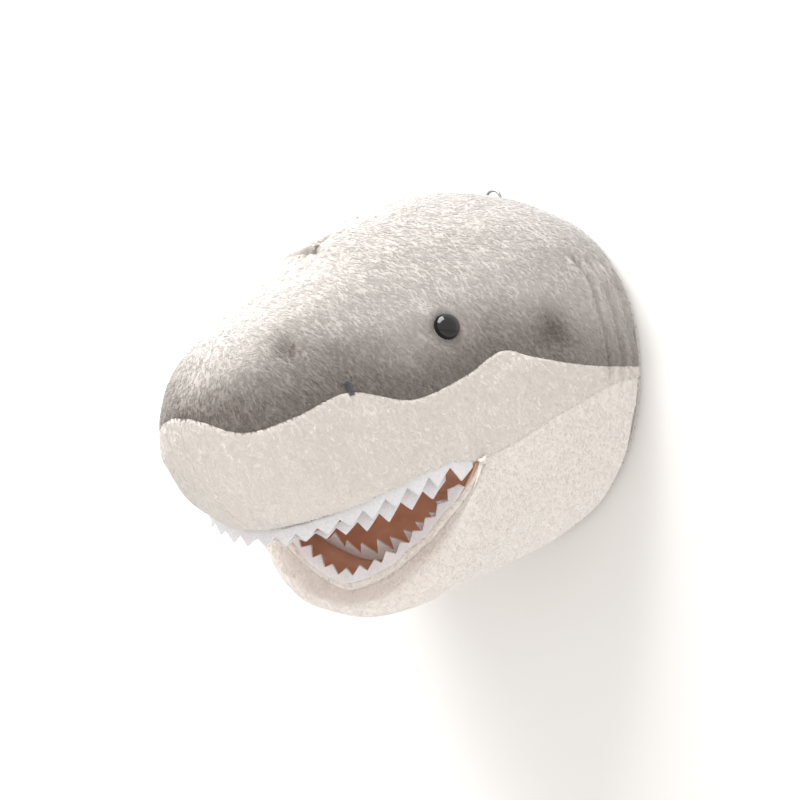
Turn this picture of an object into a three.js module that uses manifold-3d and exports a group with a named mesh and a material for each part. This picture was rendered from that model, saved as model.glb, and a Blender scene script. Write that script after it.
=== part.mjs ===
/*
 * Plush shark head for hanging on a wall, in millimetres.
 * The flat back lies in the plane y = 0 with its centre at the origin, the nose points along -Y and
 * +Z is up. Distances "forward" are measured from the wall, so a point that is d forward has y = -d.
 */
import * as THREE from 'three';
import { mergeVertices } from 'three/addons/utils/BufferGeometryUtils.js';
import Module from 'manifold-3d';

// Overall sizes
const headDepth = 316;
const headWidth = 274;
const headHeight = 268;

// Cloth, felt and board
const gap = 0.3;
const plushThickness = 3;
const liningThickness = 2;
const feltThickness = 1.6;
const backFeltThickness = 2;
const boardThickness = 6;
const stuffingInset = 8;

// Teeth
const upperToothCount = 20;
const upperInnerToothCount = 17;
const lowerToothCount = 17;
const lowerInnerToothCount = 13;
const toothLength = 9.5;
const frontToothShare = 0.7;
const frontInnerToothShare = 0.5;
const lowerToothLength = 12;
const lowerOuterToothLength = 8;
const toothBand = 4.5;
const innerRowDrop = 9;
const innerRowSetBack = 12;
const innerRowStart = 5;

// Eyes
const eyeRadius = 9;
const eyeHeight = 7;
const eyeStemRadius = 2.2;
const eyeStemLength = 14;
const washerRadius = 9;
const washerThickness = 1.5;
const eyeForward = 0.513;
const eyeRise = 0.24;

// Hanger
const ringRadius = 7;
const ringWire = 1.1;
const barrelRadius = 2.5;
const barrelWidth = 7;
const ringPivotForward = 3.4;
const ringPivotBelowTop = 3;
const plateWidth = 14;
const plateLength = 34;
const plateThickness = 1;
const screwRadius = 1.5;
const screwLength = 5;
const hangerRoom = 2.5;

// The jaw bends about a line through the two corners of the mouth
const cornerForward = 0.475;
const jawSplitGap = 0.006;
const lipT = 0.995;

const halfHeight = headHeight / 2;
const halfWidth = headWidth / 2;

/*
 * Cross-sections of the upper head from the rim to the nose tip, as shares of the overall sizes:
 * distance forward, top, half width, height of the widest place, underside.
 */
const headSections = [
  [0.000, 0.963, 0.971, 0.000, -0.963],
  [0.127, 1.000, 1.000, -0.045, -1.000],
  [0.285, 0.963, 0.956, -0.194, -1.000],
  [0.459, 0.821, 0.825, -0.403, -0.910],
  [0.617, 0.649, 0.686, -0.463, -0.843],
  [0.744, 0.448, 0.577, -0.478, -0.813],
  [0.848, 0.276, 0.482, -0.433, -0.716],
  [0.930, 0.104, 0.350, -0.343, -0.552],
  [0.978, -0.097, 0.197, -0.269, -0.388],
  [1.000, -0.209, 0.006, -0.216, -0.224],
];

/*
 * The throat and lower jaw from the rim to the lip: distance forward at the side and underneath,
 * height of the underside, squareness. The last row is the lip and the one before it its roll.
 */
const jawSections = [
  [0.000, 0.000, -0.963, 2.1],
  [0.127, 0.127, -1.067, 2.1],
  [0.285, 0.285, -1.172, 2.1],
  [0.425, 0.445, -1.243, 2.1],
  [0.462, 0.506, -1.254, 2.0],
  [0.474, 0.532, -1.190, 1.75],
  [0.475, 0.514, -1.101, 1.5],
];

/* The edge between grey crown and white cheek: distance forward, height. */
const colourEdge = [
  [0.00, 0.05],
  [0.20, 0.05],
  [0.34, 0.09],
  [0.41, 0.12],
  [0.50, -0.01],
  [0.62, -0.125],
  [0.75, -0.09],
  [0.86, -0.20],
  [0.95, -0.28],
  [1.00, -0.214],
];

/* The upper lip from the corner of the mouth to under the nose: distance forward, angle in degrees. */
const upperLip = [
  [cornerForward, 0],
  [0.570, 0],
  [0.655, -11],
  [0.715, -25],
  [0.760, -41],
  [0.788, -62],
  [0.799, -90],
];

const wasm = await Module();
wasm.setup();
const DEGREE = Math.PI / 180;

/* Smooth value of every column of a table at the share t of its length; roundEnd rounds the last row. */
function tableAt(table, t, roundEnd = false) {
  const last = table.length - 1;
  const at = THREE.MathUtils.clamp(t, 0, 1) * last;
  const i = Math.min(Math.floor(at), last - 1);
  const u = at - i;
  return table[i].map((p1, column) => {
    const p2 = table[i + 1][column];
    const p0 = i > 0 ? table[i - 1][column] : 2 * p1 - p2;
    const beyond = roundEnd && column === 0 ? p1 : 2 * p2 - p1;
    const p3 = i + 2 <= last ? table[i + 2][column] : beyond;
    const slope = p2 - p0;
    const bend = 2 * p0 - 5 * p1 + 4 * p2 - p3;
    const twist = -p0 + 3 * p1 - 3 * p2 + p3;
    return p1 + 0.5 * (slope * u + bend * u * u + twist * u ** 3);
  });
}

/* The share of a table's length at which its first column has a given value. */
function tableFind(table, value, roundEnd = false) {
  let low = 0;
  let high = 1;
  for (let step = 0; step < 40; step += 1) {
    const middle = (low + high) / 2;
    if (tableAt(table, middle, roundEnd)[0] < value) low = middle;
    else high = middle;
  }
  return (low + high) / 2;
}

const headAt = (forward) => tableFind(headSections, forward, true);
const jawAt = (forward) => tableFind(jawSections, forward);
const power = (value, exponent) => Math.sign(value) * Math.abs(value) ** exponent;

/* A point of the upper head; the angle is 90 at the crown, 0 at the widest place, -90 underneath. */
function headPoint(t, angle, inset = 0) {
  const [forward, top, wide, middle, under] = tableAt(headSections, t, true);
  const flatness = angle >= 0 ? 2 / 2.2 : 1;
  const across = Math.cos(angle * DEGREE);
  const up = Math.sin(angle * DEGREE);
  const reach = (angle >= 0 ? top - middle : middle - under) * halfHeight - inset;
  return new THREE.Vector3(
    power(across, flatness) * (wide * halfWidth - inset),
    -forward * headDepth,
    middle * halfHeight + power(up, flatness) * reach,
  );
}

/*
 * A point of the throat and jaw; the angle is 0 at the right edge, -90 underneath, -180 at the left.
 * Its edge runs along the widest places of the head as far as the corner of the mouth.
 */
function jawPoint(t, angle, inset = 0) {
  const [forwardSide, forwardUnder, under, squareness] = tableAt(jawSections, t);
  const [, , wide, edge] = tableAt(headSections, headAt(forwardSide), true);
  const across = Math.cos(angle * DEGREE);
  const down = Math.sin(-angle * DEGREE);
  return new THREE.Vector3(
    power(across, 2 / squareness) * (wide * halfWidth - inset),
    -THREE.MathUtils.lerp(forwardSide, forwardUnder, down) * headDepth,
    edge * halfHeight - power(down, 2 / squareness) * ((edge - under) * halfHeight - inset),
  );
}

/* The angle at which the upper head has a given height. */
function angleAtHeight(t, height) {
  const [, top, , middle, under] = tableAt(headSections, t, true);
  const rise = height - middle;
  const share = rise >= 0 ? rise / (top - middle) : rise / (middle - under);
  const sine = Math.sign(share) * Math.min(Math.abs(share), 1) ** (rise >= 0 ? 1.1 : 1);
  return Math.asin(sine) / DEGREE;
}

function colourEdgeAngle(t) {
  const forward = tableAt(headSections, t, true)[0];
  const height = tableAt(colourEdge, tableFind(colourEdge, forward))[1];
  return angleAtHeight(t, height);
}

/* Outward direction of a surface given as a function of two numbers. */
function outward(surface, a, b, from) {
  const step = 0.004;
  const alongA = surface(a + step, b).sub(surface(a - step, b));
  const alongB = surface(a, b + step).sub(surface(a, b - step));
  const direction = alongA.cross(alongB).normalize();
  return direction.dot(surface(a, b).sub(from)) < 0 ? direction.negate() : direction;
}

/* A closed mesh from points and faces, with its faces turned outward. */
function closedMesh(points, faces) {
  let volume = 0;
  faces.forEach(([a, b, c]) => {
    volume += points[a].dot(points[b].clone().cross(points[c]));
  });
  const turned = volume < 0 ? faces.map(([a, b, c]) => [a, c, b]) : faces;
  const geometry = new THREE.BufferGeometry();
  geometry.setAttribute('position', new THREE.Float32BufferAttribute(points.flatMap((p) => p.toArray()), 3));
  geometry.setIndex(turned.flat());
  return geometry;
}

/* A solid through rings of the same number of points, closed by a fan at each end. */
function loft(rings) {
  const count = rings[0].length;
  const points = rings.flat();
  const faces = [];
  for (let ring = 0; ring < rings.length - 1; ring += 1) {
    for (let i = 0; i < count; i += 1) {
      const a = ring * count + i;
      const b = ring * count + ((i + 1) % count);
      faces.push([a, b, a + count], [b, b + count, a + count]);
    }
  }
  [[0, 1], [rings.length - 1, -1]].forEach(([ring, turn]) => {
    const centre = new THREE.Vector3();
    rings[ring].forEach((point) => centre.addScaledVector(point, 1 / count));
    points.push(centre);
    for (let i = 0; i < count; i += 1) {
      const edge = [ring * count + ((i + 1) % count), ring * count + i];
      if (turn < 0) edge.reverse();
      faces.push([points.length - 1, ...edge]);
    }
  });
  return closedMesh(points, faces);
}

/* A cloth panel: a grid of outer points, each with the inner point behind it. */
function panel(rows, columns, pointPair) {
  const rings = [];
  for (let row = 0; row <= rows; row += 1) {
    const outer = [];
    const inner = [];
    for (let column = 0; column <= columns; column += 1) {
      const [front, back] = pointPair(row / rows, column / columns);
      outer.push(front);
      inner.unshift(back);
    }
    rings.push([...outer, ...inner]);
  }
  const count = 2 * (columns + 1);
  const points = rings.flat();
  const faces = [];
  for (let row = 0; row < rows; row += 1) {
    for (let i = 0; i < count; i += 1) {
      const a = row * count + i;
      const b = row * count + ((i + 1) % count);
      faces.push([a, b, a + count], [b, b + count, a + count]);
    }
  }
  [0, rows].forEach((row) => {
    for (let column = 0; column < columns; column += 1) {
      const a = row * count + column;
      const b = a + 1;
      const c = row * count + count - 1 - column;
      const d = c - 1;
      faces.push(...(row === 0 ? [[a, c, b], [b, c, d]] : [[a, b, c], [b, d, c]]));
    }
  });
  return closedMesh(points, faces);
}

function toSolid(geometry) {
  const bare = geometry.clone();
  bare.deleteAttribute('normal');
  bare.deleteAttribute('uv');
  const merged = mergeVertices(bare, 1e-3);
  const mesh = new wasm.Mesh({
    numProp: 3,
    vertProperties: new Float32Array(merged.attributes.position.array),
    triVerts: new Uint32Array(merged.index.array),
  });
  return new wasm.Manifold(mesh);
}

function fromSolid(solid) {
  const { vertProperties, triVerts } = solid.getMesh();
  const geometry = new THREE.BufferGeometry();
  geometry.setAttribute('position', new THREE.BufferAttribute(new Float32Array(vertProperties), 3));
  geometry.setIndex(new THREE.BufferAttribute(new Uint32Array(triVerts), 1));
  return geometry;
}

/* Cuts tools out of a piece and leaves any sliver that the cut parts from it. */
function cut(geometry, ...tools) {
  const result = tools.reduce((solid, tool) => solid.subtract(toSolid(tool)), toSolid(geometry));
  const bodies = result.decompose();
  bodies.sort((a, b) => b.volume() - a.volume());
  return fromSolid(bodies[0]);
}

function mirrored(geometry) {
  const copy = geometry.clone().scale(-1, 1, 1);
  const order = Array.from(copy.index.array);
  for (let i = 0; i < order.length; i += 3) {
    [order[i + 1], order[i + 2]] = [order[i + 2], order[i + 1]];
  }
  copy.setIndex(order);
  return copy;
}

function box(width, depth, height, x, forward, z) {
  return new THREE.BoxGeometry(width, depth, height).translate(x, -forward, z);
}

/* A straight round rod or disc whose axis runs along a direction. */
function rod(radius, length, sides, start, direction) {
  const geometry = new THREE.CylinderGeometry(radius, radius, length, sides).translate(0, length / 2, 0);
  const turn = new THREE.Quaternion().setFromUnitVectors(new THREE.Vector3(0, 1, 0), direction);
  return geometry.applyQuaternion(turn).translate(start.x, start.y, start.z);
}

// ---------------------------------------------------------------- lines of the mouth

const cornerT = headAt(cornerForward);
const corner = headPoint(cornerT, 0);
const jawAxis = { forward: -corner.y, height: corner.z };
const sidePoints = upperLip.map(([forward, angle]) => headPoint(headAt(forward), angle));
const upperLipPoints = [
  ...sidePoints.map((p) => new THREE.Vector3(-p.x, p.y, p.z)).slice(0, -1),
  ...sidePoints.slice().reverse(),
];
const upperLipCurve = new THREE.CatmullRomCurve3(upperLipPoints);

const lowerLipPoints = [];
for (let angle = -180; angle <= 0; angle += 15) lowerLipPoints.push(jawPoint(1, angle));
const lowerLipCurve = new THREE.CatmullRomCurve3(lowerLipPoints);

/* The closed end of the mouth, a level arc bowed towards the wall. */
const throatForward = jawAxis.forward - 0.16 * headDepth;
const throatHeight = jawAxis.height - 0.22 * halfHeight;
function throatPoint(u) {
  const swing = (2 * u - 1) * Math.PI / 2;
  return new THREE.Vector3(
    Math.sin(swing) * (corner.x - plushThickness - 2),
    -THREE.MathUtils.lerp(jawAxis.forward, throatForward, Math.cos(swing)),
    THREE.MathUtils.lerp(jawAxis.height, throatHeight, Math.cos(swing)),
  );
}

/* Level direction that points into the mouth from a lip. */
function inwardFrom(curve, u) {
  const along = curve.getTangentAt(u);
  return new THREE.Vector3(along.y, -along.x, 0).normalize().negate();
}

const archHeight = 0.2 * halfHeight;
const bowlDepth = 0.07 * halfHeight;
const liningSetBack = plushThickness + feltThickness + 3 * gap;

/* The mouth lining: share 0 at the closed end, 1 at the lip. lift moves it away from the mouth. */
function palatePoint(u, share, lift = 0) {
  const lip = upperLipCurve.getPointAt(u).addScaledVector(inwardFrom(upperLipCurve, u), liningSetBack);
  const back = throatPoint(u);
  const point = back.lerp(lip, share);
  const arch = Math.sin(Math.PI * u) * Math.sin(Math.PI * share ** 0.7) * archHeight;
  point.z += gap + arch + lift;
  return point;
}

function jawLiningPoint(u, share, drop = 0) {
  const lip = lowerLipCurve.getPointAt(u);
  const centre = new THREE.Vector3(0, lip.y, corner.z);
  lip.addScaledVector(centre.sub(lip).normalize(), liningSetBack);
  const back = throatPoint(u);
  const point = back.lerp(lip, share);
  const bowl = Math.sin(Math.PI * u) * Math.sin(Math.PI * share) * bowlDepth;
  point.z -= gap + bowl + drop;
  point.y += (bowl + drop) / 2;
  return point;
}

// ---------------------------------------------------------------- cloth panels

const edgeAllowance = gap / 2 / DEGREE;

/* Angle that keeps half a gap to the middle of the head. */
function seamAngle(t) {
  const wide = tableAt(headSections, t, true)[2] * halfWidth;
  return 90 - Math.min(edgeAllowance * 2 / wide, 40);
}

function headPair(t, angle, depth = plushThickness) {
  const front = headPoint(t, angle);
  const core = headPoint(Math.max(t - 0.1, 0), 0).setX(0);
  const direction = outward((a, b) => headPoint(a, b * 100), t, angle / 100, core);
  if (Math.abs(front.x) < 1) direction.setX(0).normalize();
  if (t < 0.02) direction.setY(0).normalize();
  return [front, front.clone().addScaledVector(direction, -depth)];
}

/* The room that a cloth panel needs: its own thickness, a clearance behind it and a margin in front. */
const clothRoom = plushThickness + 2 * gap;
function roomPair(pair) {
  const [front, back] = pair;
  return [front.clone().lerp(back, -plushThickness / clothRoom), back];
}

const rimT = headAt((backFeltThickness + gap) / headDepth);
const noseT = 0.995;

const panelRows = 30;
const colourEdgeT = (along) => THREE.MathUtils.lerp(rimT, noseT, along ** 0.85);

function crownPair(along, across, depth) {
  const t = colourEdgeT(along);
  const low = colourEdgeAngle(t) + 0.25;
  return headPair(t, THREE.MathUtils.lerp(low, seamAngle(t), across), depth);
}
const crownRight = panel(panelRows, 7, crownPair);
const crownRoom = panel(panelRows, 7, (along, across) => roomPair(crownPair(along, across, clothRoom)));

/* Lower edge of a cheek: the side of the throat, the lip, then the seam under the nose. */
const cornerShare = 0.4;
const frontShare = 0.8;
function cheekLowEdge(along) {
  if (along < cornerShare) {
    return [THREE.MathUtils.lerp(rimT, cornerT, along / cornerShare), 0.25];
  }
  if (along <= frontShare) {
    const [forward, angle] = tableAt(upperLip, (along - cornerShare) / (frontShare - cornerShare));
    const t = headAt(forward);
    return [t, Math.max(angle + 0.25, -seamAngle(t))];
  }
  const t = THREE.MathUtils.lerp(headAt(upperLip.at(-1)[0]), noseT, (along - frontShare) / (1 - frontShare));
  return [t, -seamAngle(t)];
}

function cheekPair(along, across, depth) {
  const [lowT, lowAngle] = cheekLowEdge(along);
  const highT = colourEdgeT(along);
  const highAngle = colourEdgeAngle(highT) - 0.25;
  const t = THREE.MathUtils.lerp(lowT, highT, across);
  return headPair(t, THREE.MathUtils.lerp(lowAngle, highAngle, across), depth);
}
const cheekRight = panel(panelRows, 6, cheekPair);
const cheekRoom = panel(panelRows, 6, (along, across) => roomPair(cheekPair(along, across, clothRoom)));

function jawPair(t, angle, depth = plushThickness) {
  const front = jawPoint(t, angle);
  const core = jawPoint(Math.min(t, 0.6), angle).multiplyScalar(0.5);
  const direction = outward((a, b) => jawPoint(a, b * 100), t, angle / 100, core);
  if (t < 0.02) direction.setY(0).normalize();
  return [front, front.clone().addScaledVector(direction, -depth)];
}

const jawEdgeAngle = 0.5;
const underAngle = (across) => THREE.MathUtils.lerp(-jawEdgeAngle, jawEdgeAngle - 180, across);

/* The fold between throat and jaw, which slants back from the corners of the mouth. */
const foldSide = 0.667;
const foldUnder = 0.47;
const foldT = (angle) => THREE.MathUtils.lerp(foldSide, foldUnder, Math.sin(-angle * DEGREE));

const throatRimT = jawAt((backFeltThickness + gap) / headDepth);
function throatPair(along, across, depth) {
  const angle = underAngle(across);
  return jawPair(THREE.MathUtils.lerp(throatRimT, foldT(angle), along), angle, depth);
}
function chinPair(along, across, depth) {
  const angle = underAngle(across);
  return jawPair(THREE.MathUtils.lerp(foldT(angle) + jawSplitGap, lipT, along), angle, depth);
}
const throatPanel = panel(14, 20, throatPair);
const throatRoom = panel(14, 20, (along, across) => roomPair(throatPair(along, across, clothRoom)));
const chinPanel = panel(10, 20, chinPair);
const chinRoom = panel(10, 20, (along, across) => roomPair(chinPair(along, across, clothRoom)));

// ---------------------------------------------------------------- mouth lining and teeth

const palate = panel(24, 6, (along, across) => {
  const u = THREE.MathUtils.lerp(0.03, 0.97, along);
  return [palatePoint(u, across), palatePoint(u, across, liningThickness)];
});
const jawLining = panel(24, 6, (along, across) => {
  const u = THREE.MathUtils.lerp(0.04, 0.96, along);
  return [jawLiningPoint(u, across), jawLiningPoint(u, across, liningThickness)];
});

/* A felt strip with a zigzag edge; frame gives its root, the two ways from there and its widths. */
function toothStrip(count, start, end, frame) {
  const rings = [];
  for (let i = 0; i <= 2 * count; i += 1) {
    const u = THREE.MathUtils.lerp(start, end, i / (2 * count));
    const { root, across, toothWay, band, length } = frame(u);
    const reach = band + (i % 2 === 1 ? length : 0);
    const tip = root.clone().addScaledVector(toothWay, reach);
    const behind = across.clone().multiplyScalar(feltThickness);
    rings.push([root, root.clone().add(behind), tip.clone().add(behind), tip]);
  }
  return loft(rings);
}

/* Share of the full size that the upper teeth have: less under the nose than at the sides. */
const toothGrowth = (u) => THREE.MathUtils.smoothstep(Math.abs(2 * u - 1), 0.2, 0.65);

const DOWN = new THREE.Vector3(0, 0, -1);
const upperTeethOuter = toothStrip(upperToothCount, 0.015, 0.985, (u) => {
  const across = inwardFrom(upperLipCurve, u);
  const root = upperLipCurve.getPointAt(u).addScaledVector(across, plushThickness + gap);
  const share = THREE.MathUtils.lerp(frontToothShare, 1, toothGrowth(u));
  return { root, across, toothWay: DOWN, band: toothBand * share, length: toothLength * share };
});
const upperTeethInner = toothStrip(upperInnerToothCount, 0.06, 0.94, (u) => {
  const across = inwardFrom(upperLipCurve, u);
  const lip = upperLipCurve.getPointAt(u);
  const root = lip.clone().addScaledVector(across, innerRowSetBack).addScaledVector(DOWN, innerRowStart);
  const drop = (toothBand + innerRowDrop - innerRowStart) * toothGrowth(u);
  const share = THREE.MathUtils.lerp(frontInnerToothShare, 1, toothGrowth(u));
  return { root, across, toothWay: DOWN, band: gap + drop, length: toothLength * share };
});

const mouthMiddle = new THREE.Vector3(0, -jawAxis.forward - 0.12 * headDepth, corner.z - 0.1 * halfHeight);
const mouthBack = new THREE.Vector3(0, -jawAxis.forward - 0.04 * headDepth, corner.z + 0.15 * halfHeight);
const lowerTeethOuter = toothStrip(lowerToothCount, 0.07, 0.93, (u) => {
  const lip = lowerLipCurve.getPointAt(u);
  const toothWay = mouthBack.clone().sub(lip).normalize();
  const across = toothWay.clone().cross(lowerLipCurve.getTangentAt(u)).normalize();
  const root = lip.addScaledVector(toothWay, plushThickness + gap).addScaledVector(across, -feltThickness);
  return { root, across, toothWay, band: gap, length: lowerOuterToothLength };
});
const lowerTeethInner = toothStrip(lowerInnerToothCount, 0.12, 0.88, (u) => {
  const root = jawLiningPoint(u, 0.68);
  const toothWay = mouthMiddle.clone().sub(root).normalize();
  const across = toothWay.clone().cross(lowerLipCurve.getTangentAt(u)).normalize();
  root.addScaledVector(toothWay, 3);
  return { root, across, toothWay, band: 3, length: lowerToothLength };
});

// ---------------------------------------------------------------- stuffing

/* The hollow of the mouth, grown past the lining and out through both lips. */
const mouthRoom = (() => {
  const rings = [];
  const steps = 20;
  const room = liningThickness + 4 * gap;
  for (let i = 0; i <= steps; i += 1) {
    const u = THREE.MathUtils.lerp(0.005, 0.995, i / steps);
    const ring = [];
    for (let k = 0; k <= 6; k += 1) ring.push(palatePoint(u, k / 6, room));
    const out = inwardFrom(upperLipCurve, u).multiplyScalar(-0.2 * headDepth);
    ring.push(palatePoint(u, 1, room).add(out));
    ring.push(jawLiningPoint(u, 1, room).add(out));
    for (let k = 6; k > 0; k -= 1) ring.push(jawLiningPoint(u, k / 6, room));
    rings.push(ring);
  }
  return loft(rings);
})();

function roundSection(t, upper, lower, steps) {
  const ring = [];
  for (let i = 0; i < 2 * steps; i += 1) {
    const angle = 90 - i * 180 / steps;
    const lowerSide = angle < 0 && angle > -180;
    const folded = Math.abs(angle) <= 90 ? angle : -180 - angle;
    const point = lowerSide ? lower(t, folded) : upper(t, folded);
    if (Math.abs(angle) > 90) point.x = -Math.abs(point.x);
    ring.push(point);
  }
  return ring;
}

/* A block of filling between two distances forward, with the outline of the head inside the cloth. */
function filling(fromForward, toForward, steps, lowerOutline) {
  const rings = [];
  for (let i = 0; i <= steps; i += 1) {
    const forward = THREE.MathUtils.lerp(fromForward, toForward, i / steps);
    const t = headAt(forward);
    const inset = stuffingInset;
    const upper = (at, angle) => headPoint(at, Math.abs(angle), inset);
    rings.push(roundSection(t, upper, (at, angle) => lowerOutline(forward, at, angle, inset), 16));
  }
  return loft(rings);
}

const boardFront = backFeltThickness + boardThickness + 2 * gap;
const neckFront = 0.29;
const throatOutline = (forward, t, angle, inset) => jawPoint(jawAt(forward), -Math.abs(angle), inset);
const snoutOutline = (forward, t, angle, inset) => headPoint(t, -Math.abs(angle), inset);
const neckStuffing = filling((boardFront + gap) / headDepth, neckFront, 6, throatOutline);
const snoutFront = 0.965;
const snoutBlock = filling(neckFront + 2 * gap / headDepth, snoutFront, 12, snoutOutline);

/* Everything below the side of the throat, as far forward as the corners of the mouth. */
const belowSideLine = (() => {
  const shape = new THREE.Shape();
  const rear = (neckFront - 0.05) * headDepth;
  shape.moveTo(rear, -0.16 * halfHeight);
  shape.lineTo(jawAxis.forward + 1, jawAxis.height + 2);
  shape.lineTo(jawAxis.forward + 1, -1.5 * halfHeight);
  shape.lineTo(rear, -1.5 * halfHeight);
  const geometry = new THREE.ExtrudeGeometry(shape, { depth: 2 * headWidth, bevelEnabled: false });
  const turn = new THREE.Matrix4().makeBasis(
    new THREE.Vector3(0, -1, 0),
    new THREE.Vector3(0, 0, 1),
    new THREE.Vector3(-1, 0, 0),
  );
  return geometry.applyMatrix4(turn).translate(headWidth, 0, 0);
})();

const jawBlock = (() => {
  const rings = [];
  const steps = 6;
  for (let i = 0; i <= steps; i += 1) {
    const ring = [];
    for (let k = 0; k <= 12; k += 1) {
      const angle = underAngle(k / 12);
      const t = THREE.MathUtils.lerp(foldT(angle) + 0.02, 0.86, i / steps);
      ring.push(jawPair(t, angle, stuffingInset)[1]);
    }
    rings.push(ring);
  }
  return loft(rings);
})();

// ---------------------------------------------------------------- eyes, nostrils and tuft

const eyeT = headAt(eyeForward);
const eyeAngle = angleAtHeight(eyeT, eyeRise);
const [eyeOuter, eyeInner] = headPair(eyeT, eyeAngle);
const eyeWay = eyeOuter.clone().sub(eyeInner).normalize();

/* A profile of points (radius, height) turned about a direction from a starting point. */
function turned(profile, sides, start, direction) {
  const geometry = new THREE.LatheGeometry(profile.map(([r, h]) => new THREE.Vector2(r, h)), sides);
  const turn = new THREE.Quaternion().setFromUnitVectors(new THREE.Vector3(0, 1, 0), direction);
  return geometry.applyQuaternion(turn).translate(start.x, start.y, start.z);
}

function eyeProfile(clearance) {
  const profile = [[0, -eyeStemLength - clearance]];
  profile.push([eyeStemRadius + clearance, -eyeStemLength - clearance]);
  profile.push([eyeStemRadius + clearance, -clearance]);
  for (let angle = 0; angle < 90; angle += 15) {
    const across = Math.cos(angle * DEGREE) * (eyeRadius + clearance);
    const up = Math.sin(angle * DEGREE) * (eyeHeight + clearance);
    profile.push([across, up - clearance]);
  }
  profile.push([0, eyeHeight + clearance]);
  return profile;
}
const eyeSeat = eyeOuter.clone().addScaledVector(eyeWay, 0.8);
const eyeRight = turned(eyeProfile(0), 16, eyeSeat, eyeWay);
const eyeRoom = turned(eyeProfile(gap), 16, eyeSeat, eyeWay);

const washerStart = eyeInner.clone().addScaledVector(eyeWay, -washerThickness - 2 * gap);
const washerSeatStart = washerStart.clone().addScaledVector(eyeWay, -gap);
const washerSeat = rod(washerRadius + gap, washerThickness + 2 * gap, 20, washerSeatStart, eyeWay);
const washerRight = cut(rod(washerRadius, washerThickness, 20, washerStart, eyeWay), eyeRoom);
const washerRoomStart = washerStart.clone().addScaledVector(eyeWay, -eyeStemLength);
const washerRoomLength = washerThickness + eyeStemLength + plushThickness;
const washerRoom = rod(washerRadius + gap, washerRoomLength, 20, washerRoomStart, eyeWay);
const eyeRoomLeft = mirrored(mergeVertices(eyeRoom));
const washerRoomLeft = mirrored(mergeVertices(washerRoom));

/* A flat lens of thread lying on the cloth. */
function threadPad(t, angle, length, width, height) {
  const [front, back] = headPair(t, angle);
  const way = front.clone().sub(back).normalize();
  const side = headPoint(t + 0.01, angle).sub(headPoint(t - 0.01, angle)).normalize();
  const up = way.clone().cross(side).normalize();
  const pad = new THREE.SphereGeometry(1, 12, 6).scale(length / 2, width / 2, height / 2);
  const turn = new THREE.Matrix4().makeBasis(side, up, way);
  const place = front.clone().addScaledVector(way, height / 2 + gap);
  return pad.applyMatrix4(turn).translate(place.x, place.y, place.z);
}
const nostrilT = headAt(0.747);
const nostrilRight = threadPad(nostrilT, colourEdgeAngle(nostrilT) + 4, 12, 6, 2);
const foreheadTuft = threadPad(headAt(0.636), 90, 6, 6, 2);

// ---------------------------------------------------------------- back and hanger

/* The outline of the rim, moved in by an inset, as a plate between two distances forward. */
function rimPlate(inset, fromForward, toForward) {
  const ring = (forward) => roundSection(
    0,
    (t, angle) => headPoint(t, Math.abs(angle), inset).setY(-forward),
    (t, angle) => jawPoint(t, -Math.abs(angle), inset).setY(-forward),
    32,
  );
  return loft([ring(fromForward), ring(toForward)]);
}

const rimTop = headPoint(0, 90).z;
const pivotHeight = rimTop - ringPivotBelowTop;
const pivot = new THREE.Vector3(0, -ringPivotForward, pivotHeight);
const SIDEWAYS = new THREE.Vector3(1, 0, 0);

/* Room round the ring, its barrel and the plate. */
const ringSwing = ringWire + barrelRadius + hangerRoom;
const hangerSlot = box(
  plateWidth + 2 * hangerRoom,
  2 * (ringPivotForward + ringSwing),
  ringSwing + hangerRoom + 20,
  0,
  0,
  pivotHeight - ringSwing + (ringSwing + hangerRoom + 20) / 2,
);
const plateBottom = pivotHeight - barrelRadius - plateLength;
const plateBack = backFeltThickness - plateThickness;
const plateSlot = box(
  plateWidth + 2 * gap,
  2 * backFeltThickness,
  plateLength + ringSwing,
  0,
  0,
  plateBottom - gap + (plateLength + ringSwing) / 2,
);

const barrelStart = pivot.clone().setX(-barrelWidth / 2);
const barrelOuter = rod(barrelRadius, barrelWidth, 16, barrelStart, SIDEWAYS);
const boreStart = pivot.clone().setX(-barrelWidth);
const barrelBore = rod(ringWire + 2 * gap, 2 * barrelWidth, 16, boreStart, SIDEWAYS);
const plateMiddle = plateBack + plateThickness / 2;
const flatPlate = box(plateWidth, plateThickness, plateLength, 0, plateMiddle, plateBottom + plateLength / 2);
const neckHeight = pivotHeight - plateBottom;
const plateNeck = box(barrelWidth, plateThickness, neckHeight, 0, plateMiddle, plateBottom + neckHeight / 2);
const screwHeights = [0.25, 0.7].map((share) => plateBottom + share * plateLength);
const INTO_BOARD = new THREE.Vector3(0, -1, 0);

function screw(height, clearance) {
  const start = new THREE.Vector3(0, clearance, height);
  const head = rod(2 * screwRadius + clearance, plateBack - gap + clearance, 12, start, INTO_BOARD);
  const shankLength = screwLength + plateBack + 2 * clearance;
  const shank = rod(screwRadius + clearance, shankLength, 12, start, INTO_BOARD);
  return fromSolid(toSolid(head).add(toSolid(shank)));
}
const screwHoles = screwHeights.map((height) => screw(height, gap));
const hangerPlate = cut(
  fromSolid(toSolid(barrelOuter).add(toSolid(flatPlate)).add(toSolid(plateNeck))),
  barrelBore,
  ...screwHoles,
);

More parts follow.
